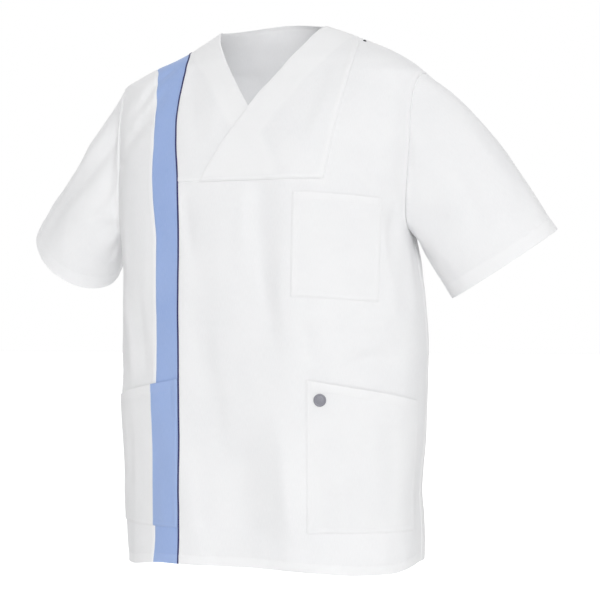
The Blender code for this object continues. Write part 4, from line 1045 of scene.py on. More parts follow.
# right of the front: side panel and stripe
st, sz, smarks = lower_grid([None, outer], [(True, True)], -1)
bt, bz, bmarks = lower_grid([outer, inner], [(True, True)], -1)
top_outer, top_inner = meets_ridge(x_of(STRIPE_OUTER), -1), meets_ridge(x_of(STRIPE_INNER), -1)
x_row = form(st, sz)[-1, :, 0]
sut, suz = upper_grid(armhole_x(-1), x_of(STRIPE_OUTER), Z_SHOULDER_TIP, top_outer, (x_row - x_row[0]) / (x_row[-1] - x_row[0]), -1)
x_row = form(bt, bz)[-1, :, 0]
but, buz = upper_grid(x_of(STRIPE_OUTER), x_of(STRIPE_INNER), top_outer, top_inner, (x_row - x_row[0]) / (x_row[-1] - x_row[0]), -1)
whole_t, whole_z = np.concatenate([st, sut[1:]]), np.concatenate([sz, suz[1:]])
b = form(whole_t, whole_z)
near, far = arcs(b, 1)
low, high = arcs(b, 0)
side_out, side_two = side_edge(near, whole_z[:, :1], low[:, :1], 21, 0)
out = side_out + seam(far, low[:, -1:], 22, 6.0) + hem(low, near[:1], 23, HEM_DEPTH) + seam(high, near[-1:], 24, pucker=0.1)
side_panel = place(whole_t, whole_z, out)
# the doubled hem and allowance bands get painted brightening
two = np.maximum(np.maximum(side_two, doubled(far, 6.0)), doubled(low, HEM_DEPTH - 0.5))
panel("front_side_right_cloth", [(side_panel, uv_of(whole_t, whole_z), two)])
keep("front_side_right_cloth", "front_side_right", "white_cloth")

band_t, band_z = np.concatenate([bt, but[1:]]), np.concatenate([bz, buz[1:]])
b = form(band_t, band_z)
near, far = arcs(b, 1)
low, high = arcs(b, 0)
out = seam(near, low[:, :1], 22) + seam(far, low[:, -1:], 12) + hem(low, near[:1], 26, HEM_DEPTH) + seam(high, near[-1:], 27, pucker=0.1)
band = place(band_t, band_z, out)
# the doubled hem band gets painted brightening
panel("stripe_right_cloth", [(band, uv_of(band_t, band_z), doubled(low, HEM_DEPTH - 0.5))])
keep("stripe_right_cloth", "stripe_right", "blue_cloth")

# piping in the seam between the stripe and the front: a folded strip, its fold standing out
line_t, line_z = band_t[:, -1], band_z[:, -1]
line = place(line_t, line_z, 0.0)
across = line - place(band_t[:, -4], band_z[:, -4], 0.0)
across /= np.linalg.norm(across, axis=1, keepdims=True)
up = np.gradient(line, axis=0)
rise = np.cross(across, up)
rise /= np.linalg.norm(rise, axis=1, keepdims=True)
a = np.radians(np.linspace(-112, 112, 13))
tight = 1 + 0.05 * ripple(arcs(line[:, None], 0)[0][:, 0], 31, 9.0)
cord = line[:, None] + across[:, None] * (np.sin(a) * 1.32)[None, :, None] + (
    rise[:, None] * ((np.cos(a) * 1.12)[None, :] * tight[:, None] - 0.28)[..., None]
)
cord_uv = np.stack(np.broadcast_arrays((a * 1.3)[None], arcs(line[:, None], 0)[0]), -1)
obj, _ = shell("piping_right_cloth", [cord], 0.45, (line[:, None] - rise[:, None] * 3 + 0 * cord).reshape(-1, 3), [cord_uv], [np.zeros(cord.shape[:2])])
keep("piping_right_cloth", "piping_right", "navy_piping")


# patch pockets, on the same form moved out; the sewn edges come down to the cloth, the mouth gapes a little
def patch(name, node, slot, keys, side, bottom, top_row, seed, mouth=1.2, mouth_hem=11.0, left=True, right=True, more=0.0):
    t, z, _ = lower_grid(keys, [(False, False)], side)
    rows = (LOWER[:, 0] >= bottom - 0.01) & (LOWER[:, 0] <= top_row + 0.01)
    t, z = resample(
        t[rows], z[rows],
        lambda w: spots(w, EDGE, EDGE), lambda w: spots(w, EDGE, np.concatenate([EDGE, [14.5, 17.0]])),
    )
    b = form(t, z)
    near, far = arcs(b, 1)
    low, high = arcs(b, 0)
    share = near / (near + far)
    down = 0.45 * np.exp(-((low / 1.2) ** 2))
    lift = 0.30 * (1 - smooth(low, 5.5, 8.5)) * smooth(low, 0.6, 1.8)
    if left:
        down = np.maximum(down, 0.45 * np.exp(-((near / 1.2) ** 2)))
        lift = np.maximum(lift, 0.30 * (1 - smooth(near, 5.5, 8.5)) * smooth(near, 0.6, 1.8))
    if right:
        down = np.maximum(down, 0.45 * np.exp(-((far / 1.2) ** 2)))
        lift = np.maximum(lift, 0.30 * (1 - smooth(far, 5.5, 8.5)) * smooth(far, 0.6, 1.8))
    gape = mouth * np.exp(-high / 26.0) * np.sin(math.pi * np.clip(share, 0, 1)) ** 0.8 if left and right else (
        mouth * np.exp(-high / 26.0) * (share if left else 1 - share) ** 0.8)
    out = PATCH + more - down + lift + gape + hem(high, near[-1:], seed, mouth_hem, 0.12)
    out += 0.13 * ripple(low[:, :1], seed + 1, 11.0) * np.exp(-near / 7.0) * smooth(near, 1, 3)
    out += 0.13 * ripple(low[:, -1:], seed + 2, 11.0) * np.exp(-far / 7.0) * smooth(far, 1, 3)
    out += 0.13 * ripple(near[:1], seed + 3, 11.0) * np.exp(-low / 7.0) * smooth(low, 1, 3)
    # the patch is slacker than the front, so it has play of its own
    rng = np.random.default_rng(seed)
    for _ in range(5):
        u0, v0 = rng.uniform(0.15, 0.85), rng.uniform(0.15, 0.8)
        wide, tall = rng.uniform(0.10, 0.22), rng.uniform(0.16, 0.4)
        out += rng.uniform(-0.55, 0.6) * np.exp(-(((share - u0) / wide) ** 2) - (((low / (low + high)) - v0) / tall) ** 2)
    p = place(t, z, np.maximum(out, PATCH - 0.5))
    two = np.maximum(doubled(high, mouth_hem), doubled(low, 7.0))
    two = np.maximum(two, doubled(near, 7.0) if left else 0)
    two = np.maximum(two, doubled(far, 7.0) if right else 0)
    # painted brightening: the whole patch is lifted a little as a second layer, and more at its hems and sewn edges
    two = 0.45 + 0.4 * two
    panel(name, [(p, uv_of(t, z), two)], thick=0.8)
    keep(name, node, slot)
    n = grid_normals(p)
    return p, n


chest = patch("pocket_chest_cloth", "pocket_chest", "white_cloth", [column_a, column_c], 1, -377.0, -240.0, 41, mouth=0.9)
hip_left = patch("pocket_hip_left_cloth", "pocket_hip_left", "white_cloth", [column_a, hip_out], 1, -684.0, -485.0, 51, mouth=1.9, mouth_hem=13.0)
hip_right = patch("pocket_hip_right_cloth", "pocket_hip_right", "white_cloth", [out_edge, pocket_stripe], -1, -684.0, -485.0, 61, mouth=1.3, mouth_hem=13.0, right=False)
hip_stripe = patch("pocket_stripe_right_cloth", "pocket_stripe_right", "blue_cloth", [pocket_stripe, lambda z: inner(z) - 1.5], -1, -684.0, -485.0, 71, mouth=0.9, mouth_hem=13.0, left=False)


# the crossed yokes and their facings
def lap_rise(t, z):
    x = form(t, z)[..., 0]
    over = np.clip((through(NECK_EDGE_RIGHT, z) + 62.0 - x) / 27.0, 0, 1)
    over = over * np.clip((through(YOKE_SEAM, z) - x) / 20.0, 0, 1)
    return LAP_RISE * over * np.clip((-74.0 - z) / 30.0, 0, 1)


def neck_shares(width, facing):
    width = np.abs(width)
    f = np.minimum(facing / width, 0.80)
    a = spots(f * width, EDGE[:8], ())
    c = spots((1 - f) * width, (), EDGE[:7])
    return np.concatenate([a[:, :-1] * f[:, None], f[:, None] + (1 - f)[:, None] * c], axis=1), a.shape[1] - 1


def yoke(name, node, left, right, top_left, top_right, facing, side, neck_left, seed):
    mark = []

    def shares(w, z):
        f, columns = neck_shares(w, straight(facing, z))
        mark.append(columns)
        return f if neck_left else 1 - f[:, ::-1]

    t, z = upper_grid(left, right, top_left, top_right, shares, side)
    b = form(t, z)
    near, far = arcs(b, 1)
    low, high = arcs(b, 0)
    neck, other = (near, far) if neck_left else (far, near)
    column = mark[0] if neck_left else t.shape[1] - 1 - mark[0]
    width = neck[:, column : column + 1]
    rise = 0 * z
    if neck_left:
        rise = lap_rise(t, z)
        rise = np.minimum(rise, 0.9) + np.maximum(rise - 0.9, 0) * smooth(low, 0.0, 20.0)
    neck_along = low[:, :1] if neck_left else low[:, -1:]
    other_along = low[:, -1:] if neck_left else low[:, :1]
    out = rise + seam(other, other_along, seed, 7.0 if neck_left else 0, proud=0.35) * smooth(high, -1, 3)
    out += seam(low, near[:1], seed + 1, 7.0, proud=0.35) + seam(high, near[-1:], seed + 2, pucker=0.1)
    # the neck edge is rolled over its facing, and the facing's free edge shows as a soft step
    out += -0.35 * np.exp(-((neck / 1.0) ** 2)) + 0.15 * ripple(neck_along, seed + 3, 13.0) * np.exp(-neck / 9.0) * smooth(neck, 0.5, 3)
    out += 0.32 * (1 - smooth(neck, width - 2.0, width + 3.0))
    p = place(t, z, out)
    # painted brightening over the facing, strongest there, and over the seam allowances
    two = np.maximum(np.maximum(1.35 * doubled(neck, width), doubled(low, 7.0)), doubled(other, 7.0) if neck_left else 0)
    panel(name, [(p, uv_of(t, z), two)])
    keep(name, node, "white_cloth")
    return t, z, p, rise, column


lt, lz, yoke_l, rise, lmark = yoke("yoke_left_cloth", "yoke_left", x_of(NECK_EDGE_LEFT), x_of(YOKE_SEAM), 0.0, top, FACING_LEFT, 1, True, 81)
rt, rz, yoke_r, _, rmark = yoke("yoke_right_cloth", "yoke_right", x_of(STRIPE_INNER), x_of(NECK_EDGE_RIGHT), top_inner, 0.0, FACING_RIGHT, -1, False, 91)
for name, node, t, z, rise in (
    ("facing_left_cloth", "facing_left", lt[:, : lmark + 1], lz[:, : lmark + 1], rise[:, : lmark + 1]),
    ("facing_right_cloth", "facing_right", rt[:, rmark:], rz[:, rmark:], 0 * rz[:, rmark:]),
):
    b = form(t, z)
    neck = arcs(b, 1)[0 if name == "facing_left_cloth" else 1]
    free = neck[:, -1:] if name == "facing_left_cloth" else neck[:, :1]
    # joined to the yoke along the neck edge, a little back from it, and loose at its own edge
    out = rise - CLOTH - 0.12 - 0.45 * smooth(neck, 2.0, 9.0) + 0.32 * (1 - smooth(neck, free - 14.0, free - 4.0)) * smooth(neck, 3, 8)
    p = place(t, z, out - 0.35 * np.exp(-((neck / 1.0) ** 2)))
    panel(name, [(p, uv_of(t, z), 0 * z)], thick=0.6)
    keep(name, node, "white_cloth")

# back
(tl, zl, neck_at), (tr, zr, _) = back_half(1), back_half(-1)
t, z = np.concatenate([tl, tr[:, -2::-1]], axis=1), np.concatenate([zl, zr[:, -2::-1]], axis=1)
b = form(t, z)
near, far = arcs(b, 1)
low, high = arcs(b, 0)
cols = t.shape[1]
left_out, left_two = side_edge(near, z[:, :1], low[:, :1], 101, ALLOWANCE)
right_out, right_two = side_edge(far, z[:, -1:], low[:, -1:], 102, ALLOWANCE)
j = np.arange(cols)[None]
at_neck = smooth(near, near[:, neck_at : neck_at + 1] - 4, near[:, neck_at : neck_at + 1] + 8) * smooth(
    far, far[:, cols - 1 - neck_at : cols - neck_at] - 4, far[:, cols - 1 - neck_at : cols - neck_at] + 8)
shoulder = seam(high, near[-1:], 103, ALLOWANCE, pucker=0.1)
neck_hem = hem(high, near[-1:], 104, 9.0, 0.1)
out = left_out + right_out + hem(low, near[:1], 105, HEM_DEPTH) + shoulder * (1 - at_neck) + neck_hem * at_neck
back = place(t, z, out)
# the doubled hem, neck and allowance bands get painted brightening
two = np.maximum(np.maximum(left_two, right_two), doubled(low, HEM_DEPTH - 0.5))
two = np.maximum(two, doubled(high, 8.0))
panel("back_cloth", [(back, uv_of(t, z, True), two)])
keep("back_cloth", "back", "white_cloth")
GRIDS["back"], GRIDS["back_neck"] = back, (neck_at, cols - 1 - neck_at)


# sleeves: from the armhole to the cuff, joined under the arm
def sleeve(name, row, seed):
    _, x, y, z0, wide, deep, out_rise, back_rise, swing, top_angle, low_angle, bold = row
    side = 1 if name == "left" else -1
    around = spots(430.0, EDGE, EDGE, 3.4)[0] * 2 * math.pi - math.pi
    height = _middle + _reach * np.cos(around)
    hole = np.where(
        (around >= 0)[:, None],
        place(angle_at(armhole_s(height, side), height), height, -0.5),
        place(angle_at(armhole_s(height, side, True), height), height, -0.5),
    )
    outw, forward = wide * np.cos(around), deep * np.sin(around)
    cuff = np.stack([x + side * outw, y - forward, z0 + out_rise * outw - back_rise * forward], axis=1)
    arrive = np.array([side * out_rise, swing, -1.0])
    arrive /= np.linalg.norm(arrive)
    up = (1 + np.cos(around))[:, None] / 2
    reach = np.linalg.norm(cuff - hole, axis=1, keepdims=True)
    start = [
        np.array([side * math.cos(math.radians(a)), 0.05, -math.sin(math.radians(a))])
        for a in (top_angle, low_angle)
    ]
    leave = (start[0] * up * bold + start[1] * (1 - up)) * reach
    leave[:, 1] -= np.sin(around) * SLEEVE_FULLNESS
    arrive = arrive * reach
    cuff_points = np.array([0.6, 1.6, 3.2, 6.0, 9.0, 12.0, 15.0, 17.5, 18.8, 20.2, 21.5, 24.0])
    q = spots(reach[:, 0], EDGE, cuff_points).T[..., None]
    p = (
        (2 * q**3 - 3 * q**2 + 1) * hole
        + (q**3 - 2 * q**2 + q) * leave
        + (-2 * q**3 + 3 * q**2) * cuff
        + (q**3 - q**2) * arrive
    )
    n = grid_normals(p)
    centre = p.mean(axis=1, keepdims=True)
    if ((p - centre) * n).sum() < 0:
        n = -n
    near, far = arcs(p, 0)          # from the armhole, from the cuff
    rear, front = arcs(p, 1)        # from the underarm seam at the back, and at the front
    a = np.broadcast_to(around, p.shape[:2])
    level = near / (near + far) * 180.0
    out = np.zeros(p.shape[:2])
    creases = [
        (math.radians(a0) * 70, q0 * 180, math.radians(a1) * 70, q1 * 180, bend, width, depth, i, o)
        for a0, q0, a1, q1, bend, width, depth, i, o in SLEEVE_CREASES[name]
    ]
    out += crease_sum(a * 70, level, creases)
    out += 1.1 * unevenness(p)
    along = rear[:1]
    out *= smooth(near, 0, 16)
    # the cap stands a little proud of the armhole seam; it is eased in, so it puckers more on top
    out += 0.5 * (1 - np.exp(-((near / 1.15) ** 2)))
    out += 0.6 * smooth(near, 0.8, 4.0) * np.exp(-near / 16.0) * (0.4 + 0.6 * up[None, :, 0] if up.ndim == 2 else 1)
    out += 0.22 * ripple(along, seed, 12.0) * smooth(near, 0.8, 4.0) * np.exp(-near / 10.0)
    out += hem(far, along, seed + 1, CUFF_HEM - 1.0)
    for d, s in ((rear, seed + 2), (front, seed + 3)):
        out += seam(d, near[:, :1], s, ALLOWANCE if s % 2 else 0, dip=0.5) * smooth(near, 0, 6)
    p = p + n * out[..., None]
    uv = np.stack([rear, far], -1)
    # painted brightening at the cuff hem and the seam allowance, weaker at the right cuff
    two = np.maximum((1.0 if name == "left" else 0.45) * doubled(far, CUFF_HEM - 1.0), doubled(rear, ALLOWANCE))
    obj, _ = shell("sleeve_%s_cloth" % name, [p], CLOTH, (centre + 0 * p).reshape(-1, 3), [uv], [two])
    keep(obj.name, "sleeve_" + name, "white_cloth")
    return p, centre


sleeve_l, centre_l = sleeve("left", SLEEVES[0], 111)
sleeve_r, centre_r = sleeve("right", SLEEVES[1], 121)


# ---------------------------------------------------------------- badge and stud
def turned(name, profile, foot, towards, segments):
    """A closed round piece from a profile of (radius, height), from the middle of its face round to
    the middle of its back."""
    towards = np.array(towards) / np.linalg.norm(towards)
    u = np.cross(towards, [0.0, 0.0, 1.0])
    u /= np.linalg.norm(u)
    w = np.cross(towards, u)
    a = np.linspace(0, 2 * math.pi, segments, endpoint=False)
    ring = np.cos(a)[:, None] * u + np.sin(a)[:, None] * w
    v = [foot + towards * profile[0][1]]
    for r, h in profile[1:-1]:
        v += list(foot + ring * r + towards * h)
    v.append(foot + towards * profile[-1][1])
    faces, last = [], len(profile) - 3
    for k in range(segments):
        m = (k + 1) % segments
        faces.append((0, 1 + m, 1 + k))
        faces += [(1 + i * segments + k, 1 + i * segments + m, 1 + (i + 1) * segments + m, 1 + (i + 1) * segments + k) for i in range(last)]
        faces.append((1 + last * segments + k, 1 + last * segments + m, len(v) - 1))
    mesh = bpy.data.meshes.new(name)
    mesh.from_pydata([tuple(c * MM) for c in v], [], faces)
    mesh.update()
    mesh.shade_smooth()
    obj = bpy.data.objects.new(name, mesh)
    bpy.context.scene.collection.objects.link(obj)
    return obj


def on_cloth(s, z, out):
    t = angle_at(np.array([s]), np.array([z]))
    foot = place(t, np.array([z]), out)[0]
    return foot, place(t, np.array([z]), out + 2.0)[0] - foot


foot, towards = on_cloth(108.0, -511.0, PATCH + 0.35)
turned("badge_disc", (
    (0, 1.75), (2.6, 1.72), (4.6, 1.58), (5.3, 1.40), (5.7, 1.34), (6.1, 1.42), (6.5, 1.72), (7.1, 1.86),
    (7.7, 1.78), (8.15, 1.46), (8.35, 1.0), (8.3, 0.4), (7.9, -0.2), (0, -0.3),
), foot, towards, 64)
keep("badge_disc", "badge_round", "badge_grey")
foot, towards = on_cloth(142.9, -26.7, 0.0)
turned("shoulder_stud", (
    (0, 1.30), (0.9, 1.24), (1.6, 1.02), (2.05, 0.72), (2.3, 0.40), (2.36, 0.05), (2.2, -0.35), (0, -0.5),
), foot, towards, 32)
keep("shoulder_stud", "stud_shoulder", "stud_dark")

# ---------------------------------------------------------------- stitching
n_low, n_up, n_back = grid_normals(lower), grid_normals(upper), grid_normals(back)
n_side, n_band = grid_normals(side_panel), grid_normals(band)
n_yl, n_yr = grid_normals(yoke_l), grid_normals(yoke_r)
n_sl, n_sr = grid_normals(sleeve_l), grid_normals(sleeve_r)
yoke_rows = len(LOWER)


def run(p, n, edge, d, start=0.0, end=0.0, group="thread_white", **more):
    line = line_at(p, n, edge, d, start, end)
    sew(group, line, inward(line[0]) if more.pop("inside", None) is None else 0, **more)


for p, n, group in ((lower, n_low, "thread_white"), (side_panel, n_side, "thread_white"), (back, n_back, "thread_white"), (band, n_band, "thread_blue")):
    run(p, n, "bottom", HEM_DEPTH - 1.2, 1.5, 1.5, group)
for p, n, centre in ((sleeve_l, n_sl, centre_l), (sleeve_r, n_sr, centre_r)):
    line = line_at(p, n, "top", CUFF_HEM - 2.0, 1.0, 1.0)
    sew("thread_white", line, centre[-10])
arm_rows = np.where(LOWER[:, 2] > Z_UNDERARM + 6)[0][0]
run(lower[arm_rows:], n_low[arm_rows:], "right", ALLOWANCE - 1.4)
run(upper, n_up, "right", ALLOWANCE - 1.4, 0, 4)
run(side_panel[arm_rows:], n_side[arm_rows:], "left", ALLOWANCE - 1.4, 0, 4)
run(back[arm_rows:], n_back[arm_rows:], "left", ALLOWANCE - 1.4, 0, 4)
run(back[arm_rows:], n_back[arm_rows:], "right", ALLOWANCE - 1.4, 0, 4)
run(side_panel, n_side, "right", 1.9, 2, 3)
run(side_panel, n_side, "right", 6.2, 2, 3)
for p, n, edge in ((yoke_l, n_yl, "right"), (yoke_l, n_yl, "bottom"), (yoke_r, n_yr, "bottom")):
    run(p, n, edge, 1.7, 1, 3)
    run(p, n, edge, 6.2, 1, 3)
run(yoke_l, n_yl, "left", 3.0, 2, 3)
run(yoke_r, n_yr, "right", 3.0, 2, 3)
k0, k1 = GRIDS["back_neck"]
run(back[:, : k0 + 1], n_back[:, : k0 + 1], "top", 6.4, 3, 0)
run(back[:, k1:], n_back[:, k1:], "top", 6.4, 0, 3)
run(back[:, k0 : k1 + 1], n_back[:, k0 : k1 + 1], "top", 7.8, 2, 2)
for (p, n), depth, left, right, group in (
    (chest, 11.0, True, True, "thread_white"),
    (hip_left, 13.0, True, True, "thread_white"),
    (hip_right, 13.0, True, False, "thread_white"),
    (hip_stripe, 13.0, False, True, "thread_blue"),
):
    run(p, n, "top", depth - 1.2, 1.8 if left else 0.5, 1.8 if right else 0.5, group)
    for d in (1.6, 6.4):
        e = d if d < 3 else 6.4
        run(p, n, "bottom", d, e if left else 0.3, e if right else 0.3, group)
        if left:
            run(p, n, "left", d, e, 0.8, group)
        if right:
            run(p, n, "right", d, e, 0.8, group)
for group, sets in THREADS.items():
    mesh = bpy.data.meshes.new(group)
    verts, faces, count = [], [], 0
    for v, q, caps in sets:
        verts.append(v)
        faces += (q + count).tolist() + (caps + count).tolist()
        count += len(v)
    mesh.from_pydata((np.concatenate(verts) * MM).tolist(), [], faces)
    mesh.update()
    mesh.shade_smooth()
    obj = bpy.data.objects.new(group, mesh)
    bpy.context.scene.collection.objects.link(obj)
    keep(group, None, "white_cloth" if group == "thread_white" else "blue_cloth")


# ---------------------------------------------------------------- materials
def node(tree, kind, **values):
    n = tree.nodes.new(kind)
    for key, value in values.items():
        if key in n.inputs:
            n.inputs[key].default_value = value
        else:
            setattr(n, key, value)
    return n


def fabric(name, colour, light, dark, pitch, bump, roughness=0.86, sheen=0.12, slub=0.5, through=0.3):
    """Plain weave along the cut of each piece, with slubs, soft mottling and painted brightening where the
    cloth is doubled, which stands in for the light the extra layer sends back."""
    m = bpy.data.materials.new(name)
    m.use_nodes = True
    tree = m.node_tree
    link = tree.links.new
    shader = tree.nodes["Principled BSDF"]
    shader.inputs["Roughness"].default_value = roughness
    shader.inputs["Sheen Weight"].default_value = sheen
    shader.inputs["Sheen Roughness"].default_value = 0.45
    shader.inputs["Specular IOR Level"].default_value = 0.28
    shader.inputs["Subsurface Weight"].default_value = through      # thin cloth lets some light through
    shader.inputs["Subsurface Radius"].default_value = (1.0, 1.0, 1.0)
    shader.inputs["Subsurface Scale"].default_value = 0.0015
    uv = node(tree, "ShaderNodeUVMap", uv_map="cloth")
    split = node(tree, "ShaderNodeSeparateXYZ")
    link(uv.outputs["UV"], split.inputs[0])

    def wave(socket):
        a = node(tree, "ShaderNodeMath", operation="MULTIPLY")
        a.inputs[1].default_value = math.pi / pitch
        link(socket, a.inputs[0])
        s = node(tree, "ShaderNodeMath", operation="SINE")
        link(a.outputs[0], s.inputs[0])
        return s.outputs[0]

    across, along = wave(split.outputs["X"]), wave(split.outputs["Y"])
    crossing = node(tree, "ShaderNodeMath", operation="MULTIPLY")
    link(across, crossing.inputs[0])
    link(along, crossing.inputs[1])
    place_in = node(tree, "ShaderNodeTexCoord")
    slubs = node(tree, "ShaderNodeTexNoise", Scale=1.0, Detail=3.0, Roughness=0.6)
    stretch = node(tree, "ShaderNodeMapping")
    stretch.inputs["Scale"].default_value = (1500.0, 120.0, 1.0)
    link(uv.outputs["UV"], stretch.inputs["Vector"])
    link(stretch.outputs[0], slubs.inputs["Vector"])
    crumple = node(tree, "ShaderNodeTexNoise", Scale=85.0, Detail=4.0, Roughness=0.55, Distortion=0.4)
    link(place_in.outputs["Object"], crumple.inputs["Vector"])
    mottle = node(tree, "ShaderNodeTexNoise", Scale=14.0, Detail=3.0, Roughness=0.5)
    link(place_in.outputs["Object"], mottle.inputs["Vector"])

    def mix(factor, a, b, kind="MIX"):
        n = node(tree, "ShaderNodeMix", data_type="RGBA", blend_type=kind)
        for value, socket in ((factor, n.inputs["Factor"]), (a, n.inputs["A"]), (b, n.inputs["B"])):
            if isinstance(value, bpy.types.NodeSocket):
                link(value, socket)
            else:
                socket.default_value = value
        return n.outputs["Result"]

    def ranged(socket, low, high):
        n = node(tree, "ShaderNodeMapRange")
        n.inputs["From Min"].default_value, n.inputs["From Max"].default_value = 0.3, 0.7
        n.inputs["To Min"].default_value, n.inputs["To Max"].default_value = low, high
        link(socket, n.inputs["Value"])
        return n.outputs["Result"]

    two = node(tree, "ShaderNodeAttribute", attribute_name="two")
    base = mix(ranged(mottle.outputs["Fac"], 0.0, 1.0), (*dark, 1), (*colour, 1))
    base = mix(ranged(slubs.outputs["Fac"], 0.0, slub), base, (*light, 1))
    weave = node(tree, "ShaderNodeMapRange")
    for key, value in (("From Min", -1.0), ("From Max", 1.0), ("To Min", 0.0), ("To Max", 0.16)):
        weave.inputs[key].default_value = value
    link(crossing.outputs[0], weave.inputs["Value"])
    base = mix(weave.outputs["Result"], base, (*dark, 1))
    # painted brightening: the colour is lifted towards the light tone where the cloth is doubled
    painted_doubled_light = node(tree, "ShaderNodeMath", operation="MULTIPLY")
    painted_doubled_light.inputs[1].default_value = 0.42
    link(two.outputs["Fac"], painted_doubled_light.inputs[0])
    base = mix(painted_doubled_light.outputs[0], base, (*light, 1))
    link(base, shader.inputs["Base Color"])

    rough = ranged(slubs.outputs["Fac"], roughness - 0.05, min(1.0, roughness + 0.06))
    link(rough, shader.inputs["Roughness"])
    low = node(tree, "ShaderNodeBump", Strength=bump[0], Distance=0.0011)
    link(crumple.outputs["Fac"], low.inputs["Height"])
    fine = node(tree, "ShaderNodeBump", Strength=bump[1], Distance=0.00022)
    link(crossing.outputs[0], fine.inputs["Height"])
    link(low.outputs[0], fine.inputs["Normal"])
    nap = node(tree, "ShaderNodeBump", Strength=bump[1], Distance=0.00025)
    link(slubs.outputs["Fac"], nap.inputs["Height"])
    link(fine.outputs[0], nap.inputs["Normal"])
    link(nap.outputs[0], shader.inputs["Normal"])
    return m


def moulded(name, colour, roughness, flecks):
    m = bpy.data.materials.new(name)
    m.use_nodes = True
    tree = m.node_tree
    shader = tree.nodes["Principled BSDF"]
    place_in = node(tree, "ShaderNodeTexCoord")
    grain = node(tree, "ShaderNodeTexNoise", Scale=1400.0, Detail=2.0, Roughness=0.5)
    tree.links.new(place_in.outputs["Object"], grain.inputs["Vector"])
    ramp = node(tree, "ShaderNodeValToRGB")
    ramp.color_ramp.elements[0].color = (*[c * (1 - flecks) for c in colour], 1)
    ramp.color_ramp.elements[1].color = (*[min(1, c * (1 + flecks)) for c in colour], 1)
    ramp.color_ramp.elements[0].position, ramp.color_ramp.elements[1].position = 0.35, 0.65
    tree.links.new(grain.outputs["Fac"], ramp.inputs["Fac"])
    tree.links.new(ramp.outputs["Color"], shader.inputs["Base Color"])
    shader.inputs["Roughness"].default_value = roughness
    shader.inputs["Coat Weight"].default_value = 0.15
    shader.inputs["Coat Roughness"].default_value = 0.3
    bump = node(tree, "ShaderNodeBump", Strength=0.15, Distance=0.0001)
    tree.links.new(grain.outputs["Fac"], bump.inputs["Height"])
    tree.links.new(bump.outputs[0], shader.inputs["Normal"])
    return m


def thread(name, colour):
    m = bpy.data.materials.new(name)
    m.use_nodes = True
    tree = m.node_tree
    shader = tree.nodes["Principled BSDF"]
    place_in = node(tree, "ShaderNodeTexCoord")
    ply = node(tree, "ShaderNodeTexNoise", Scale=2600.0, Detail=2.0)
    tree.links.new(place_in.outputs["Object"], ply.inputs["Vector"])
    ramp = node(tree, "ShaderNodeValToRGB")
    ramp.color_ramp.elements[0].color = (*[c * 0.9 for c in colour], 1)
    ramp.color_ramp.elements[1].color = (*colour, 1)
    tree.links.new(ply.outputs["Fac"], ramp.inputs["Fac"])
    tree.links.new(ramp.outputs["Color"], shader.inputs["Base Color"])
    shader.inputs["Roughness"].default_value = 0.6
    shader.inputs["Sheen Weight"].default_value = 0.2
    return m


FINISH = {
    "white_cloth": fabric("white_cotton_blend", (0.826, 0.828, 0.836), (0.885, 0.887, 0.893), (0.79, 0.793, 0.805), 0.00052, (0.10, 0.12)),
    "blue_cloth": fabric("blue_cotton_blend", (0.325, 0.435, 0.715), (0.385, 0.495, 0.765), (0.285, 0.395, 0.68), 0.00052, (0.12, 0.14), slub=0.6),
    "navy_piping": fabric("navy_piping_cloth", (0.035, 0.035, 0.13), (0.06, 0.06, 0.18), (0.022, 0.022, 0.09), 0.00040, (0.10, 0.20), 0.7, 0.1, through=0.0),
    "badge_grey": moulded("badge_satin_grey", (0.235, 0.235, 0.27), 0.42, 0.10),
    "stud_dark": moulded("stud_dark_satin", (0.03, 0.03, 0.035), 0.35, 0.15),
}
THREAD_FINISH = {
    "thread_white": thread("thread_white_poly", (0.86, 0.86, 0.875)),
    "thread_blue": thread("thread_blue_poly", (0.34, 0.45, 0.72)),
}
for name, (cad, slot) in made.items():
    obj = bpy.data.objects[name]
    obj.data.materials.clear()
    obj.data.materials.append(THREAD_FINISH.get(name) or FINISH[slot])
    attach(obj, "root")
    if cad:
        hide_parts(cad)

# ---------------------------------------------------------------- floor, light and camera
floor_mesh = bpy.data.meshes.new("floor")
floor_mesh.from_pydata([(-60, -60, -1.42), (60, -60, -1.42), (60, 60, -1.42), (-60, 60, -1.42)], [], [(0, 1, 2, 3)])
floor = bpy.data.objects.new("floor", floor_mesh)
bpy.context.scene.collection.objects.link(floor)
pale = bpy.data.materials.new("pale_floor")
pale.use_nodes = True
pale.node_tree.nodes["Principled BSDF"].inputs["Base Color"].default_value = (0.93, 0.93, 0.93, 1)
pale.node_tree.nodes["Principled BSDF"].inputs["Roughness"].default_value = 0.9
pale.node_tree.nodes["Principled BSDF"].inputs["Emission Color"].default_value = (1.0, 1.0, 1.0, 1)
glow = node(pale.node_tree, "ShaderNodeMath", operation="MULTIPLY")
glow.inputs[1].default_value = 0.5
pale.node_tree.links.new(node(pale.node_tree, "ShaderNodeLightPath").outputs["Is Camera Ray"], glow.inputs[0])
pale.node_tree.links.new(glow.outputs[0], pale.node_tree.nodes["Principled BSDF"].inputs["Emission Strength"])
floor_mesh.materials.append(pale)

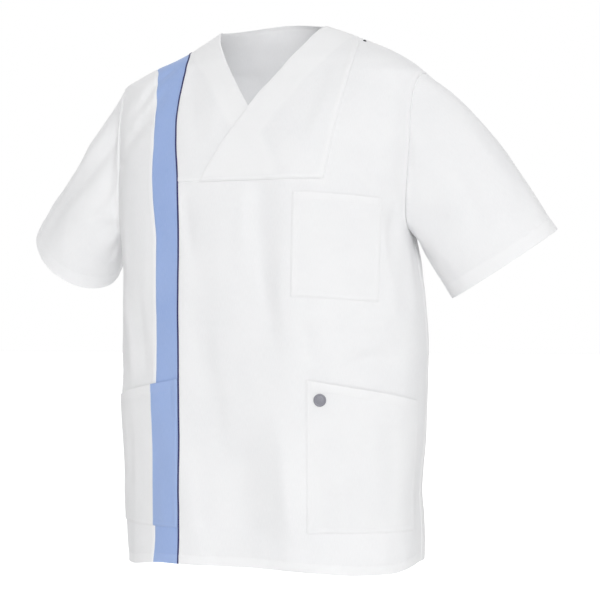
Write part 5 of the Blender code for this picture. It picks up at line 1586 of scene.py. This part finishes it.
world = bpy.data.worlds.new("studio")
bpy.context.scene.world = world
world.use_nodes = True
tree = world.node_tree
for n in list(tree.nodes):
    tree.nodes.remove(n)
output = node(tree, "ShaderNodeOutputWorld")
light = node(tree, "ShaderNodeBackground")
light.inputs["Color"].default_value = (1.0, 1.0, 1.0, 1)
light.inputs["Strength"].default_value = 0.50
seen = node(tree, "ShaderNodeBackground")
seen.inputs["Color"].default_value = (1.0, 1.0, 1.0, 1)
seen.inputs["Strength"].default_value = 1.0
path = node(tree, "ShaderNodeLightPath")
choose = node(tree, "ShaderNodeMixShader")
tree.links.new(path.outputs["Is Camera Ray"], choose.inputs[0])
tree.links.new(light.outputs[0], choose.inputs[1])
tree.links.new(seen.outputs[0], choose.inputs[2])
tree.links.new(choose.outputs[0], output.inputs[0])


def sun(name, towards, strength, spread):
    data = bpy.data.lights.new(name, "SUN")
    data.energy = strength
    data.angle = math.radians(spread)
    obj = bpy.data.objects.new(name, data)
    obj.rotation_mode = "QUATERNION"
    obj.rotation_quaternion = Vector(towards).to_track_quat("-Z", "Y")
    bpy.context.scene.collection.objects.link(obj)


sun("key", (-0.38, 0.86, -0.34), 1.52, 24)
sun("behind", (0.35, -0.75, -0.50), 1.2, 60)

# a small soft lamp in the neck opening, which the camera doesn't see, lights the inside of the back
lamp = bpy.data.lights.new("collar", "POINT")
lamp.energy = 0.064
lamp.shadow_soft_size = 0.025
collar = bpy.data.objects.new("collar", lamp)
collar.location = (-0.046, -0.030, -0.040)
collar.visible_camera = False
bpy.context.scene.collection.objects.link(collar)

TURN, AWAY = math.radians(20.0), 2.2
ahead = Vector((-math.sin(TURN), math.cos(TURN), 0.0))
aside = Vector((math.cos(TURN), math.sin(TURN), 0.0))
camera_data = bpy.data.cameras.new("camera")
camera_data.sensor_width = 36.0
camera_data.lens = 1577.06 / 600.0 * 36.0
camera_data.clip_start, camera_data.clip_end = 0.05, 200.0
camera = bpy.data.objects.new("camera", camera_data)
bpy.context.scene.collection.objects.link(camera)
camera.location = -AWAY * ahead + Vector((0.0, 0.0, -0.4199))
aim = ahead + aside * (25.0 / 1577.06) + Vector((0, 0, 1)) * (30.0 / 1577.06)
camera.rotation_mode = "QUATERNION"
camera.rotation_quaternion = aim.to_track_quat("-Z", "Y")
bpy.context.scene.camera = camera
bpy.context.scene.view_settings.view_transform = "Standard"
bpy.context.scene.view_settings.look = "None"

bpy.context.view_layer.update()
